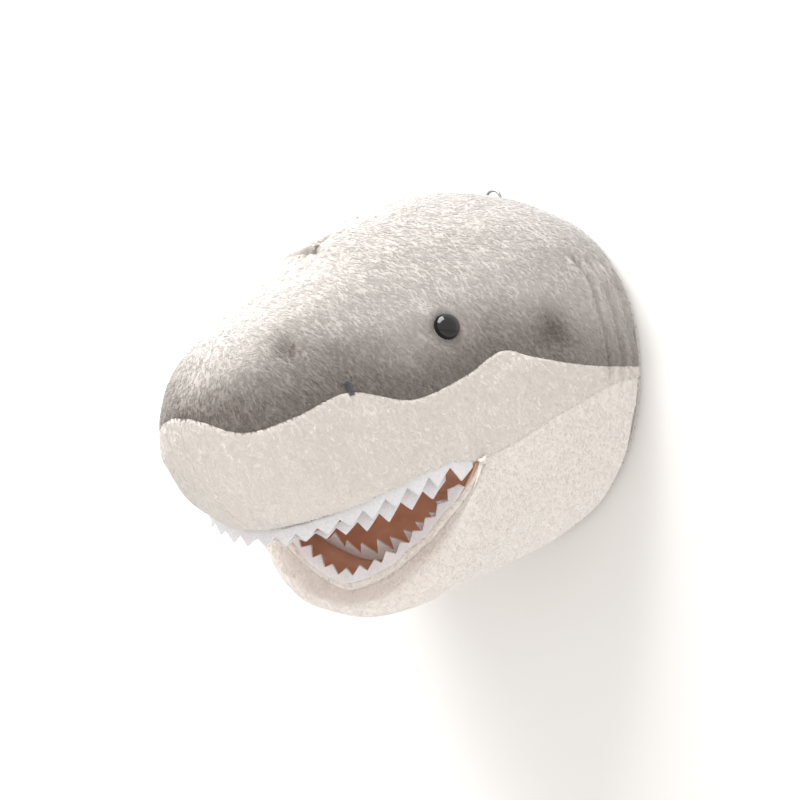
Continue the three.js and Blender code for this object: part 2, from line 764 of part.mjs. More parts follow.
/* A D shaped ring: a straight bar in the barrel and an arc above it. */
const ringGeometry = (() => {
  const halfBar = 0.65 * ringRadius;
  const points = [-halfBar, 0, halfBar].map((x) => new THREE.Vector3(x, 0, 0));
  for (let angle = -30; angle <= 210; angle += 24) {
    const across = Math.cos(angle * DEGREE) * ringRadius;
    const up = Math.sin(angle * DEGREE) * ringRadius;
    points.push(new THREE.Vector3(across, 0, ringRadius + up));
  }
  const loop = new THREE.CatmullRomCurve3(points, true);
  const section = new THREE.Shape();
  section.absarc(0, 0, ringWire, 0, 2 * Math.PI);
  return new THREE.ExtrudeGeometry(section, { steps: 32, curveSegments: 4, extrudePath: loop });
})();

const boardBack = backFeltThickness + gap;
const clothInset = plushThickness + 2 * gap;
const backBoard = cut(
  rimPlate(clothInset, boardBack, boardBack + boardThickness),
  hangerSlot,
  ...screwHoles,
);
const backCover = cut(rimPlate(plushThickness / 2, 0, backFeltThickness), hangerSlot, plateSlot);

// ---------------------------------------------------------------- the finished scene

const palette = {
  greyPlush: { color: 0x86807a, roughness: 0.95, metalness: 0 },
  whitePlush: { color: 0xe6e0d6, roughness: 0.95, metalness: 0 },
  terracotta: { color: 0xb8795c, roughness: 0.9, metalness: 0 },
  whiteFelt: { color: 0xf2f2f0, roughness: 0.9, metalness: 0 },
  filling: { color: 0xf4f2ea, roughness: 1, metalness: 0 },
  blackPlastic: { color: 0x0b0b0c, roughness: 0.08, metalness: 0 },
  thread: { color: 0x55504b, roughness: 0.8, metalness: 0 },
  plywood: { color: 0xc9a878, roughness: 0.7, metalness: 0 },
  backFelt: { color: 0xb9b5ae, roughness: 0.95, metalness: 0 },
  steel: { color: 0xb4b6b8, roughness: 0.3, metalness: 1 },
  clearPlastic: { color: 0xdedede, roughness: 0.4, metalness: 0 },
};

const shark = new THREE.Group();
function place(name, finish, geometry) {
  const mesh = new THREE.Mesh(geometry, new THREE.MeshStandardMaterial(palette[finish]));
  mesh.name = name;
  shark.add(mesh);
}

const crown = cut(crownRight, eyeRoom, washerSeat, hangerSlot);
place('crown_right', 'greyPlush', crown);
place('crown_left', 'greyPlush', mirrored(crown));
place('cheek_right', 'whitePlush', cheekRight);
place('cheek_left', 'whitePlush', mirrored(cheekRight));
place('throat_panel', 'whitePlush', throatPanel);
place('chin_panel', 'whitePlush', chinPanel);
place('palate_lining', 'terracotta', palate);
place('jaw_lining', 'terracotta', jawLining);
place('upper_teeth_outer', 'whiteFelt', upperTeethOuter);
place('upper_teeth_inner', 'whiteFelt', upperTeethInner);
place('lower_teeth_outer', 'whiteFelt', lowerTeethOuter);
place('lower_teeth_inner', 'whiteFelt', lowerTeethInner);
place('neck_stuffing', 'filling', cut(
  neckStuffing,
  hangerSlot,
  crownRoom,
  mirrored(crownRoom),
  cheekRoom,
  mirrored(cheekRoom),
  throatRoom,
));
place('snout_stuffing', 'filling', cut(
  snoutBlock,
  mouthRoom,
  belowSideLine,
  washerRoom,
  washerRoomLeft,
  eyeRoom,
  eyeRoomLeft,
  crownRoom,
  mirrored(crownRoom),
  cheekRoom,
  mirrored(cheekRoom),
  throatRoom,
));
place('jaw_stuffing', 'filling', cut(jawBlock, mouthRoom, chinRoom, throatRoom));
place('eye_right', 'blackPlastic', eyeRight);
place('eye_left', 'blackPlastic', mirrored(mergeVertices(eyeRight)));
place('eye_washer_right', 'clearPlastic', washerRight);
place('eye_washer_left', 'clearPlastic', mirrored(washerRight));
place('nostril_right', 'thread', nostrilRight);
place('nostril_left', 'thread', mirrored(nostrilRight));
place('forehead_tuft', 'thread', foreheadTuft);
place('back_board', 'plywood', backBoard);
place('back_cover', 'backFelt', backCover);
place('hanger_plate', 'steel', hangerPlate);
place('hanger_ring', 'steel', ringGeometry.translate(pivot.x, pivot.y, pivot.z));
screwHeights.forEach((height, i) => place(`hanger_screw_${i + 1}`, 'steel', screw(height, 0)));

export default shark;
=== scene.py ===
"""Looks of a plush shark head that hangs on a wall by a steel ring.

The flat back lies in the plane y = 0 with its centre at the origin, the nose points along -Y and +Z is
up. Everything is in metres. "Forward" is the distance from the wall, so a point that is 0.1 forward
has y = -0.1.
"""

import math

import bpy
import numpy as np
from mathutils import Matrix, Vector


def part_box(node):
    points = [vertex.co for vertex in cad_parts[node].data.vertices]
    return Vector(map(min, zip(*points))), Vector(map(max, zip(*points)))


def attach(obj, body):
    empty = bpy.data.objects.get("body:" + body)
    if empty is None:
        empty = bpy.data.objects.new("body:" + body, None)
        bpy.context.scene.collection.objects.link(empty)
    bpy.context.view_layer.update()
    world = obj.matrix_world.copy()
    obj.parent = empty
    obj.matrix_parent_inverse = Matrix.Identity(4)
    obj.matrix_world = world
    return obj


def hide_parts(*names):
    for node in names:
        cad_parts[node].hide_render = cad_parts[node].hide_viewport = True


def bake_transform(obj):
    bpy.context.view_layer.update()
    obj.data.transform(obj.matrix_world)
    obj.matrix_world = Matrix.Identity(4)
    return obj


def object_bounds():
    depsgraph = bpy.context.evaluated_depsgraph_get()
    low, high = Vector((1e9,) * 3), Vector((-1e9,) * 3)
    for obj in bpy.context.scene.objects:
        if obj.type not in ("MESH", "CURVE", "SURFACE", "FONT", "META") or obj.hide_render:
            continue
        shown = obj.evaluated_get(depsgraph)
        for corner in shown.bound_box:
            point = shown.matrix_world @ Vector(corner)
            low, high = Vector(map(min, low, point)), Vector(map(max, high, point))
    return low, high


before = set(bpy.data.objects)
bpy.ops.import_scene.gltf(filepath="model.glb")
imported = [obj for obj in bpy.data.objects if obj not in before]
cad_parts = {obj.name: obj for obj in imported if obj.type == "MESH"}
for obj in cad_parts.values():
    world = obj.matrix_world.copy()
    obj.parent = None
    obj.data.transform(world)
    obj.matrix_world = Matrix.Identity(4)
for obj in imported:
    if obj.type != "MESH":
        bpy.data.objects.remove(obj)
cad_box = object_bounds()

# ---------------------------------------------------------------- camera, light, wall and floor
# The head hangs on a pale wall above a pale floor. A big soft lamp stands high on the left of the
# camera, and the room gives an even white fill.

view_azimuth = math.radians(42)
view_distance = 1.5
view_side = Vector((math.cos(view_azimuth), math.sin(view_azimuth), 0))
view_back = Vector((math.sin(view_azimuth), -math.cos(view_azimuth), 0))

lens = bpy.data.cameras.new("camera")
lens.lens = 90
lens.sensor_width = 36
camera = bpy.data.objects.new("camera", lens)
bpy.context.scene.collection.objects.link(camera)
camera.location = view_back * view_distance - view_side * 0.072 + Vector((0, 0, -0.017))
camera.rotation_euler = view_back.to_track_quat("Z", "Y").to_euler()
bpy.context.scene.camera = camera
bpy.context.scene.view_settings.view_transform = "Standard"


def soft_lamp(name, place, target, size, power, colour):
    """A square lamp that faces a target."""
    light = bpy.data.lights.new(name, "AREA")
    light.size = size
    light.energy = power
    light.color = colour
    lamp = bpy.data.objects.new(name, light)
    bpy.context.scene.collection.objects.link(lamp)
    lamp.location = place
    lamp.rotation_euler = (Vector(place) - Vector(target)).to_track_quat("Z", "Y").to_euler()


key_power = 104
soft_lamp("key_lamp", (-0.6, -1.1, 1.95), (0, -0.15, 0), 1.9, key_power, (1, 0.995, 0.985))

world = bpy.data.worlds.new("room")
world.use_nodes = True
world.node_tree.nodes["Background"].inputs["Color"].default_value = (1, 0.99, 0.98, 1)
world.node_tree.nodes["Background"].inputs["Strength"].default_value = 1.12
bpy.context.scene.world = world


def new_material(name, colour, roughness):
    """A material with one Principled shader, its nodes and a function that links two sockets."""
    material = bpy.data.materials.new(name)
    material.use_nodes = True
    nodes = material.node_tree.nodes
    shader = nodes["Principled BSDF"]
    shader.inputs["Base Color"].default_value = (*colour, 1)
    shader.inputs["Roughness"].default_value = roughness
    return material, nodes, shader, material.node_tree.links.new


def new_plane(name, size, place, turn):
    bpy.ops.object.select_all(action="DESELECT")
    bpy.ops.mesh.primitive_plane_add(size=size, location=place, rotation=turn)
    plane = bpy.context.object
    plane.name = name
    return plane


paint, nodes, shader, link = new_material("pale_paint", (0.62, 0.61, 0.6), 0.9)
floor = new_plane("floor", 12, (0, 0, -0.9), (0, 0, 0))
floor.data.materials.append(paint)

# The wall is only there for whoever stands in front of it, so its back lets the view through, and it
# keeps no light from the back of the head.
paint, nodes, shader, link = new_material("wall_paint", (0.765, 0.755, 0.742), 0.9)
clear = nodes.new("ShaderNodeBsdfTransparent")
side = nodes.new("ShaderNodeNewGeometry")
mix = nodes.new("ShaderNodeMixShader")
link(side.outputs["Backfacing"], mix.inputs[0])
link(shader.outputs[0], mix.inputs[1])
link(clear.outputs[0], mix.inputs[2])
link(mix.outputs[0], nodes["Material Output"].inputs["Surface"])
wall = new_plane("wall", 12, (0, 0.003, 0), (math.radians(90), 0, 0))
wall.data.materials.append(paint)
for ray in ("diffuse", "glossy", "transmission", "shadow"):
    setattr(wall, f"visible_{ray}", False)

# ---------------------------------------------------------------- grey crown panels
# Short-pile grey polyester plush in two mirrored panels, sewn together along the middle of the
# forehead. Tucks behind the eyes make the gill lines, and stitches gather the forehead.

head_depth = -cad_box[0].y
half_width = cad_box[1].x
half_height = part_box("crown_right")[1].z

# From the rim to the nose, in shares of the sizes: forward, top, half width, widest height, underside
head_sections = [
    [0.000, 0.963, 0.971, 0.000, -0.963],
    [0.127, 1.000, 1.000, -0.045, -1.000],
    [0.285, 0.963, 0.956, -0.194, -1.000],
    [0.459, 0.821, 0.825, -0.403, -0.910],
    [0.617, 0.649, 0.686, -0.463, -0.843],
    [0.744, 0.448, 0.577, -0.478, -0.813],
    [0.848, 0.276, 0.482, -0.433, -0.716],
    [0.930, 0.104, 0.350, -0.343, -0.552],
    [0.978, -0.097, 0.197, -0.269, -0.388],
    [1.000, -0.209, 0.006, -0.216, -0.224],
]
# The seam between grey and white: forward, height
colour_edge = [
    [0.00, 0.05],
    [0.20, 0.05],
    [0.34, 0.09],
    [0.41, 0.12],
    [0.50, -0.01],
    [0.62, -0.125],
    [0.75, -0.09],
    [0.86, -0.20],
    [0.95, -0.28],
    [1.00, -0.214],
]
skin_thickness = 0.0009
skin_inset = 0.0014
pile_length = 0.0034
white_pile_length = 0.0026
rim_forward = 0.0023 / head_depth


def smooth_rows(table, t, round_end=False):
    """Values of every column of a table at the share t of its length, on smooth curves."""
    rows = np.array(table)
    last = len(rows) - 1
    at = np.clip(t, 0, 1) * last
    i = np.minimum(at.astype(int), last - 1)
    u = (at - i)[..., None]
    p1 = rows[i]
    p2 = rows[i + 1]
    p0 = np.where((i > 0)[..., None], rows[np.maximum(i - 1, 0)], 2 * p1 - p2)
    beyond = 2 * p2 - p1
    if round_end:
        beyond[..., 0] = p1[..., 0]
    p3 = np.where((i + 2 <= last)[..., None], rows[np.minimum(i + 2, last)], beyond)
    bend = 2 * p0 - 5 * p1 + 4 * p2 - p3
    twist = -p0 + 3 * p1 - 3 * p2 + p3
    return p1 + 0.5 * ((p2 - p0) * u + bend * u**2 + twist * u**3)


def find_row(table, value, round_end=False):
    """The share of a table's length at which its first column has a given value."""
    t = np.linspace(0, 1, 4001)
    return np.interp(value, smooth_rows(table, t, round_end)[:, 0], t)


def signed_power(value, exponent):
    return np.sign(value) * np.abs(value) ** exponent


def head_at(forward):
    return find_row(head_sections, forward, True)


def head_point(t, angle):
    """A point of the upper head; the angle is 90 at the crown, 0 at the widest place, -90 below."""
    sections = smooth_rows(head_sections, np.asarray(t, float), True)
    forward, top, wide, middle, under = np.moveaxis(sections, -1, 0)
    flatness = np.where(angle >= 0, 2 / 2.2, 1)
    reach = np.where(angle >= 0, top - middle, middle - under)
    x = signed_power(np.cos(np.radians(angle)), flatness) * wide * half_width
    z = (middle + signed_power(np.sin(np.radians(angle)), flatness) * reach) * half_height
    return np.stack(np.broadcast_arrays(x, -forward * head_depth, z), -1)


def colour_edge_angle(t):
    forward, top, wide, middle, under = np.moveaxis(smooth_rows(head_sections, t, True), -1, 0)
    height = smooth_rows(colour_edge, find_row(colour_edge, forward))[..., 1]
    rise = height - middle
    share = np.clip(np.where(rise >= 0, rise / (top - middle), rise / (middle - under)), -1, 1)
    return np.degrees(np.arcsin(signed_power(share, np.where(rise >= 0, 1.1, 1))))


def lerp(a, b, share):
    return a + (b - a) * share


def unit(vectors):
    return vectors / np.maximum(np.linalg.norm(vectors, axis=-1, keepdims=True), 1e-12)


def grid_normals(grid, core):
    """Directions square to a grid of points, pointing away from a core."""
    along = np.gradient(grid, axis=0)
    across = np.gradient(grid, axis=1)
    normals = unit(np.cross(along, across))
    return normals * np.sign((normals * (grid - core)).sum(-1).mean())


def ripple(points, wavelength, seed):
    """Soft random waves through space, from about -1 to 1."""
    random = np.random.default_rng(seed)
    waves = unit(random.normal(size=(9, 3))) * 2 * math.pi / wavelength
    waves *= random.uniform(0.7, 1.4, (9, 1))
    return np.sin(points @ waves.T + random.uniform(0, 2 * math.pi, 9)).sum(-1) / 3


def away_from_line(points, line):
    """Distance of every point from a line of straight pieces, and the share of the line's length."""
    line = np.array(line, float)
    lengths = np.linalg.norm(np.diff(line, axis=0), axis=1)
    done = np.concatenate([[0], np.cumsum(lengths)]) / lengths.sum()
    best = np.full(points.shape[:-1], 9.0)
    share = np.zeros(points.shape[:-1])
    for i, (start, end) in enumerate(zip(line[:-1], line[1:])):
        way = end - start
        u = np.clip(((points - start) @ way) / (way @ way), 0, 1)
        away = np.linalg.norm(points - start - u[..., None] * way, axis=-1)
        nearer = away < best
        best = np.where(nearer, away, best)
        share = np.where(nearer, lerp(done[i], done[i + 1], u), share)
    return best, share


# Places on the right half, as [x, forward, z] in millimetres
dimples = [
    ([124, 89, 30], 17, 3.6),
    ([46, 265, 17], 13, 3.0),
    ([36, 302, -21], 11, 1.6),
    ([90, 162, 32], 13, 3.6),
    ([0, 201, 83], 9, 3.0),
    ([3, 182, 93], 6, 1.5),
    ([85, 171, 40], 6.5, -2.6),
    ([94, 153, 22], 7, -1.6),
]
gill_tucks = [
    [[109, 51, 84], [120, 45, 67], [132, 43, 38], [137, 41, 9], [137, 39, -20]],
    [[112, 38, 82], [128, 29, 52], [135, 27, 24], [136, 26, 0], [136, 26, -24]],
    [[112, 20, 82], [126, 11, 53], [133, 9, 21], [134, 8, 0], [134, 8, -26]],
]
wrinkles = [
    ([[0, 201, 84], [14, 205, 80], [27, 207, 77]], 2.2),
    ([[0, 201, 84], [18, 199, 80], [36, 201, 74]], 2.6),
    ([[0, 201, 84], [20, 192, 82], [44, 186, 79]], 2.6),
    ([[0, 201, 84], [13, 188, 86], [24, 178, 88]], 2.0),
    ([[2, 201, 84], [3, 190, 89], [5, 174, 96], [5, 160, 103]], 2.2),
    ([[0, 201, 84], [9, 213, 77], [17, 222, 72]], 1.6),
]
# Places where the pile is pressed flat, and how far round them
pressed = [([90, 162, 32], 8.8), ([73, 236, -12], 4.5), ([0, 201, 83], 4)]


def from_plan(place):
    """Points given as x, forward and z in millimetres, in metres in the frame of the part."""
    place = np.array(place, float)
    return place * [0.001, -0.001, 0.001]


def relief(points):
    """How far the cloth stands out or sinks in, from stuffing lumps, stitches, dimples and tucks."""
    right = points * [1, 1, 1]
    right[..., 0] = np.abs(points[..., 0])
    height = 0.0011 * ripple(points, 0.095, 3) + 0.0005 * ripple(points, 0.038, 4)
    for place, radius, depth in dimples:
        away = np.linalg.norm(right - from_plan(place), axis=-1)
        height -= depth / 1000 * np.exp(-((away / (radius / 1000)) ** 2))
    for line in gill_tucks:
        away, share = away_from_line(right, from_plan(line))
        fade = np.clip((1 - share) / 0.3, 0, 1) * np.clip(share / 0.06, 0, 1)
        height += fade * 0.0012 * np.exp(-(((away - 0.005) / 0.003) ** 2))
        height -= fade * 0.0048 * np.exp(-((away / 0.0023) ** 2))
    for line, depth in wrinkles:
        away, share = away_from_line(right, from_plan(line))
        fade = np.clip((1 - share) / 0.5, 0, 1)
        height += fade * depth / 2500 * np.exp(-(((away - 0.006) / 0.004) ** 2))
        height -= fade * depth / 650 * np.exp(-((away / 0.0022) ** 2))
    return height


def trodden(points):
    """How much of the pile stands, from 0 in the bottom of a tuck to 1 on open cloth."""
    right = points * [1, 1, 1]
    right[..., 0] = np.abs(points[..., 0])
    standing = np.ones(points.shape[:-1])
    for line in gill_tucks:
        away, share = away_from_line(right, from_plan(line))
        standing -= 0.85 * np.clip((1 - share) / 0.3, 0, 1) * np.exp(-((away / 0.0026) ** 2))
    for line, depth in wrinkles:
        away, share = away_from_line(right, from_plan(line))
        standing -= 0.8 * np.clip((1 - share) / 0.5, 0, 1) * np.exp(-((away / 0.0023) ** 2))
    for place, radius in pressed:
        away = np.linalg.norm(right - from_plan(place), axis=-1)
        standing -= 0.8 * np.exp(-((away / (radius / 1000)) ** 6))
    return np.clip(standing, 0.12, 1)


def arc_from_edge(grid, axis, end):
    """Distance of every point of a grid from one of its edges, measured along the cloth."""
    steps = np.linalg.norm(np.diff(grid, axis=axis), axis=-1)
    if end:
        steps = np.flip(steps, axis)
    zero = np.zeros_like(np.take(steps, [0], axis))
    away = np.cumsum(np.concatenate([zero, steps], axis), axis)
    return np.flip(away, axis) if end else away


def rounded(away, radius):
    """How far a rounded edge lies below the cloth at a distance from the edge."""
    share = np.clip(1 - away / radius, 0, 1)
    return radius * (1 - np.sqrt(1 - share**2))


def new_mesh_piece(name, points, faces, material):
    """A smooth object at the origin from points and faces of one size."""
    mesh = bpy.data.meshes.new(name)
    points = np.asarray(points, np.float32).reshape(-1, 3)
    faces = np.asarray(faces, np.int32)
    mesh.vertices.add(len(points))
    mesh.vertices.foreach_set("co", points.ravel())
    mesh.loops.add(faces.size)
    mesh.loops.foreach_set("vertex_index", faces.ravel())
    mesh.polygons.add(len(faces))
    mesh.polygons.foreach_set("loop_start", np.arange(0, faces.size, faces.shape[1], dtype=np.int32))
    mesh.update(calc_edges=True)
    mesh.shade_smooth()
    mesh.materials.append(material)
    piece = bpy.data.objects.new(name, mesh)
    bpy.context.scene.collection.objects.link(piece)
    return piece


def grid_faces(rows, columns, flip):
    """The faces of a grid, turned over when its columns run the other way."""
    i, j = np.meshgrid(np.arange(rows - 1), np.arange(columns - 1), indexing="ij")
    a = (i * columns + j).ravel()
    faces = np.stack([a, a + 1, a + columns + 1, a + columns], 1)
    return faces[:, ::-1] if flip else faces


def select_only(piece):
    bpy.ops.object.select_all(action="DESELECT")
    piece.select_set(True)
    bpy.context.view_layer.objects.active = piece


def cloth_piece(name, grid, core, thickness, material, tones=None):
    """A cloth panel over a grid of outer points, with its thickness on the inside. tones, where they
    are given, are kept in a map for the material."""
    along = np.gradient(grid, axis=0)
    across = np.gradient(grid, axis=1)
    facing = (np.cross(across, along) * (grid - core)).sum(-1).mean()
    faces = grid_faces(*grid.shape[:2], facing < 0)
    piece = new_mesh_piece(name, grid, faces, material)
    if tones is not None:
        at = np.repeat(tones.ravel()[faces.ravel()].astype(np.float32), 2)
        piece.data.uv_layers.new(name="tone", do_init=False).uv.foreach_set("vector", at)
    select_only(piece)
    wall = piece.modifiers.new("thickness", "SOLIDIFY")
    wall.thickness = thickness
    wall.offset = -1
    bpy.ops.object.modifier_apply(modifier=wall.name)
    return piece


def shaped_panel(base, core, low_round, high_round, front_round=0.0005):
    """A panel's grid with its relief and rounded edges, and the direction of the cloth there."""
    normals = grid_normals(base, core)
    sink = skin_inset - relief(base)
    sink += rounded(arc_from_edge(base, 1, False), low_round)
    sink += rounded(arc_from_edge(base, 1, True), high_round)
    sink += rounded(arc_from_edge(base, 0, False), 0.0015)
    sink += rounded(arc_from_edge(base, 0, True), front_round)
    grid = base - normals * sink[..., None]
    return grid, grid_normals(grid, core)


def rolled_edge(grid, normals, radius, edge):
    """The rows that turn a grid's first or last row under in a soft roll. The grid may be turned on
    its side to roll its columns."""
    first, second = (0, 1) if edge == 0 else (-1, -2)
    out = normals[first]
    beyond = grid[first] - grid[second]
    beyond = unit(beyond - (beyond * out).sum(-1, keepdims=True) * out)
    turns = np.radians([25, 50, 75, 100, 130, 160])[:, None, None]
    roll = grid[first] + radius * (beyond * np.sin(turns) - out * (1 - np.cos(turns)))
    tuck = roll[-1:] - out * radius - beyond * 0.001
    roll = np.concatenate([roll, tuck])
    return roll[::-1] if edge == 0 else roll


def with_rolled_sides(grid, normals, low_radius, high_radius):
    """The grid with its two long edges rolled under."""
    turned, facing = grid.swapaxes(0, 1), normals.swapaxes(0, 1)
    low = rolled_edge(turned, facing, low_radius, 0)
    high = rolled_edge(turned, facing, high_radius, -1)
    return np.concatenate([low, turned, high]).swapaxes(0, 1)


def with_rim(grid, core):
    """The grid with its rim turned over the edge of the board."""
    way = unit((core - grid[:1]) * [1, 0, 1])
    turned = grid[:1] + way * 0.0016
    turned[..., 1] = -0.0007
    half = grid[:1] + way * 0.0008
    half[..., 1] = -0.0012
    return np.concatenate([turned, half, grid])


def add_noise(nodes, link, scale, detail, distortion=0, stretch=None):
    """Fine noise that is fixed to the piece; stretch gives its scale along each axis."""
    place = nodes.new("ShaderNodeTexCoord").outputs["Object"]
    if stretch:
        mapping = nodes.new("ShaderNodeMapping")
        mapping.inputs["Scale"].default_value = stretch
        link(place, mapping.inputs["Vector"])
        place = mapping.outputs["Vector"]
    noise = nodes.new("ShaderNodeTexNoise")
    noise.inputs["Scale"].default_value = scale
    noise.inputs["Detail"].default_value = detail
    noise.inputs["Distortion"].default_value = distortion
    link(place, noise.inputs["Vector"])
    return noise.outputs["Fac"]


def add_tones(nodes, link, source, dark, light, low=0, high=1):
    """A dark colour below the value low, a light one above high, and a blend between."""
    tones = nodes.new("ShaderNodeValToRGB")
    tones.color_ramp.elements[0].position = low
    tones.color_ramp.elements[0].color = (*dark, 1)
    tones.color_ramp.elements[1].position = high
    tones.color_ramp.elements[1].color = (*light, 1)
    link(source, tones.inputs["Fac"])
    return tones.outputs["Color"]


def add_product(nodes, link, first, second):
    """One colour multiplied by another."""
    product = nodes.new("ShaderNodeMix")
    product.data_type = "RGBA"
    product.blend_type = "MULTIPLY"
    product.inputs["Factor"].default_value = 1
    link(first, product.inputs["A"])
    link(second, product.inputs["B"])
    return product.outputs["Result"]


def add_bump(nodes, link, shader, height, strength, distance):
    bump = nodes.new("ShaderNodeBump")
    bump.inputs["Strength"].default_value = strength
    bump.inputs["Distance"].default_value = distance
    link(height, bump.inputs["Height"])
    link(bump.outputs["Normal"], shader.inputs["Normal"])


def plush_backing(name, dark, light):
    """Knitted ground of a plush: the tone comes from the panel's map, with a fine speckle over it."""
    material, nodes, shader, link = new_material(name, light, 0.9)
    tone_map = nodes.new("ShaderNodeUVMap")
    tone_map.uv_map = "tone"
    tones = add_tones(nodes, link, tone_map.outputs["UV"], dark, light)
    speckle = add_noise(nodes, link, 900, 2)
    pale = add_tones(nodes, link, speckle, (0.86, 0.85, 0.84), (1, 1, 1), 0.3, 0.7)
    link(add_product(nodes, link, tones, pale), shader.inputs["Base Color"])
    add_bump(nodes, link, shader, speckle, 0.5, 0.001)
    shader.inputs["Sheen Weight"].default_value = 0.3
    shader.inputs["Sheen Roughness"].default_value = 0.5
    return material


def plush_fibre(name, dark, light, root):
    """Pile fibres: the map gives each one's own tone across and runs from its root to its tip. root is the
    painted shade at the fibre's root, which lightens towards the tip.
    """
    material, nodes, shader, link = new_material(name, light, 0.62)
    fibre_map = nodes.new("ShaderNodeUVMap")
    fibre_map.uv_map = "OFBake"
    parts = nodes.new("ShaderNodeSeparateXYZ")
    link(fibre_map.outputs["UV"], parts.inputs["Vector"])
    tones = add_tones(nodes, link, parts.outputs["X"], dark, light)
    # Painted shade: each fibre is darker at its root, where the pile shades itself
    painted_root_shade = (root, root * 0.98, root * 0.96)
    roots = add_tones(nodes, link, parts.outputs["Y"], painted_root_shade, (1, 1, 1), 0, 0.65)
    link(add_product(nodes, link, tones, roots), shader.inputs["Base Color"])
    shader.inputs["Sheen Weight"].default_value = 0.35
    shader.inputs["Sheen Roughness"].default_value = 0.4
    shader.inputs["Specular IOR Level"].default_value = 0.3
    return material


nap_way = np.array([0, 0.62, -0.78])


def pile_piece(name, grid, normals, material, fibres, length, tones, contrast, seed):
    """Short pile over a grid: pairs of flat tapered fibres that lean with the nap, rooted in the
    cloth."""
    random = np.random.default_rng(seed)
    per_tuft = 2
    tufts = fibres // per_tuft
    side_a = grid[1:, 1:] - grid[:-1, :-1]
    side_b = grid[1:, :-1] - grid[:-1, 1:]
    area = np.linalg.norm(np.cross(side_a, side_b), axis=-1).ravel()
    cell = random.choice(len(area), tufts, p=area / area.sum())
    i, j = np.divmod(cell, grid.shape[1] - 1)
    u, v = random.random((2, tufts, 1))

    def spread(values):
        low = lerp(values[i, j], values[i, j + 1], v)
        high = lerp(values[i + 1, j], values[i + 1, j + 1], v)
        return lerp(low, high, u)

    place = spread(grid)
    out = unit(spread(normals))
    sway = np.stack([ripple(place, 0.03, seed + k) for k in range(3)], -1)
    sway += np.stack([ripple(place, 0.005, seed + 9 + k) for k in range(3)], -1)
    way = nap_way + 0.06 * sway + 0.17 * random.normal(size=(tufts, 3))
    way = unit(way - (way * out).sum(-1, keepdims=True) * out)
    over = np.cross(out, way)
    standing = trodden(place + way * 0.4 * length)
    ground = spread(tones[..., None])[:, 0]
    contrast = contrast * lerp(1, 0.15, ground)
    # Painted shade: fibres in the tucks, the wrinkles and the pressed places, round the eye too, are darkened
    tone = ground * lerp(0.3, 1, standing)
    tone += contrast * (0.03 * ripple(place, 0.004, seed + 20) + 0.08 * random.normal(size=tufts))

    place, out, way, over = [np.repeat(a, per_tuft, 0) for a in (place, out, way, over)]
    tone = np.repeat(tone, per_tuft) + np.repeat(contrast, per_tuft) * 0.08 * random.normal(size=len(place))
    standing = np.repeat(standing, per_tuft)[:, None]
    count = len(place)
    offset = random.normal(0, 0.0005, (count, 2))
    own = random.uniform(0.75, 1.2, (count, 1)) * length * standing
    splay = random.normal(0, 0.15, (count, 1))
    rise = np.radians(random.normal(19, 4, (count, 1)))
    fall = rise - math.radians(12)
    root = place + way * offset[:, :1] + over * offset[:, 1:] - out * 0.0002
    gathered = -over * offset[:, 1:] * 0.35
    half = root + 0.5 * own * (out * np.sin(rise) + way * np.cos(rise) + over * splay * 0.5)
    tip = half + 0.5 * own * (out * np.sin(fall) + way * np.cos(fall) + over * splay) + gathered
    broad = unit(over + out * random.normal(0, 0.2, (count, 1))) * 0.055 * length
    points = np.stack([root + broad, root - broad, half - broad * 0.9, half + broad * 0.9, tip], 1)
    points[..., 1] = np.minimum(points[..., 1], -0.001)
    first = np.arange(count)[:, None] * 5
    faces = np.concatenate([first + [0, 1, 2], first + [0, 2, 3], first + [3, 2, 4]], 1).reshape(-1, 3)
    piece = new_mesh_piece(name, points, faces, material)
    soft = unit(out + 0.35 * way + random.normal(0, 0.09, (count, 3)))
    piece.data.normals_split_custom_set_from_vertices(np.repeat(soft, 5, 0))
    tone = np.clip(tone, 0.02, 0.98)[:, None]
    along = np.array([0.02, 0.02, 0.5, 0.5, 0.98])
    apart = np.array([0.008, -0.008, -0.006, 0.006, 0])
    at = np.stack([tone + apart, np.broadcast_to(along, (count, 5))], -1).reshape(-1, 2)
    layer = piece.data.uv_layers.new(name="OFBake", do_init=False)
    layer.uv.foreach_set("vector", at[faces.ravel()].astype(np.float32).ravel())
    return piece


head_core = np.array([0, -0.1, -0.01])
# The ramp runs from the painted shade at the white seam and in the tucks to the painted top light on the crown
grey_dark = (0.125, 0.099, 0.083)
grey_light = (0.77, 0.73, 0.695)
grey_backing = plush_backing("grey_backing", grey_dark, grey_light)
grey_fibre = plush_fibre("grey_fibre", grey_dark, grey_light, 0.78)

crown_fibres = 56000
along, across = np.meshgrid(np.linspace(0, 1, 170), np.linspace(0, 1, 96), indexing="ij")
crown_t = lerp(head_at(rim_forward), 1, along**0.85)
crown_base = head_point(crown_t, lerp(colour_edge_angle(crown_t), 90, across))


def padded_rows(values, before, after):
    """A grid of values, or of directions, repeated along its long edges."""
    beside = [(0, 0), (before, after)] + [(0, 0)] * (values.ndim - 2)
    return np.pad(values, beside, "edge")


def facing_over_roll(rolled, flat):
    """Pile on a rolled edge stands between the roll's own direction and the open cloth's."""
    return unit(rolled + 1.4 * flat)


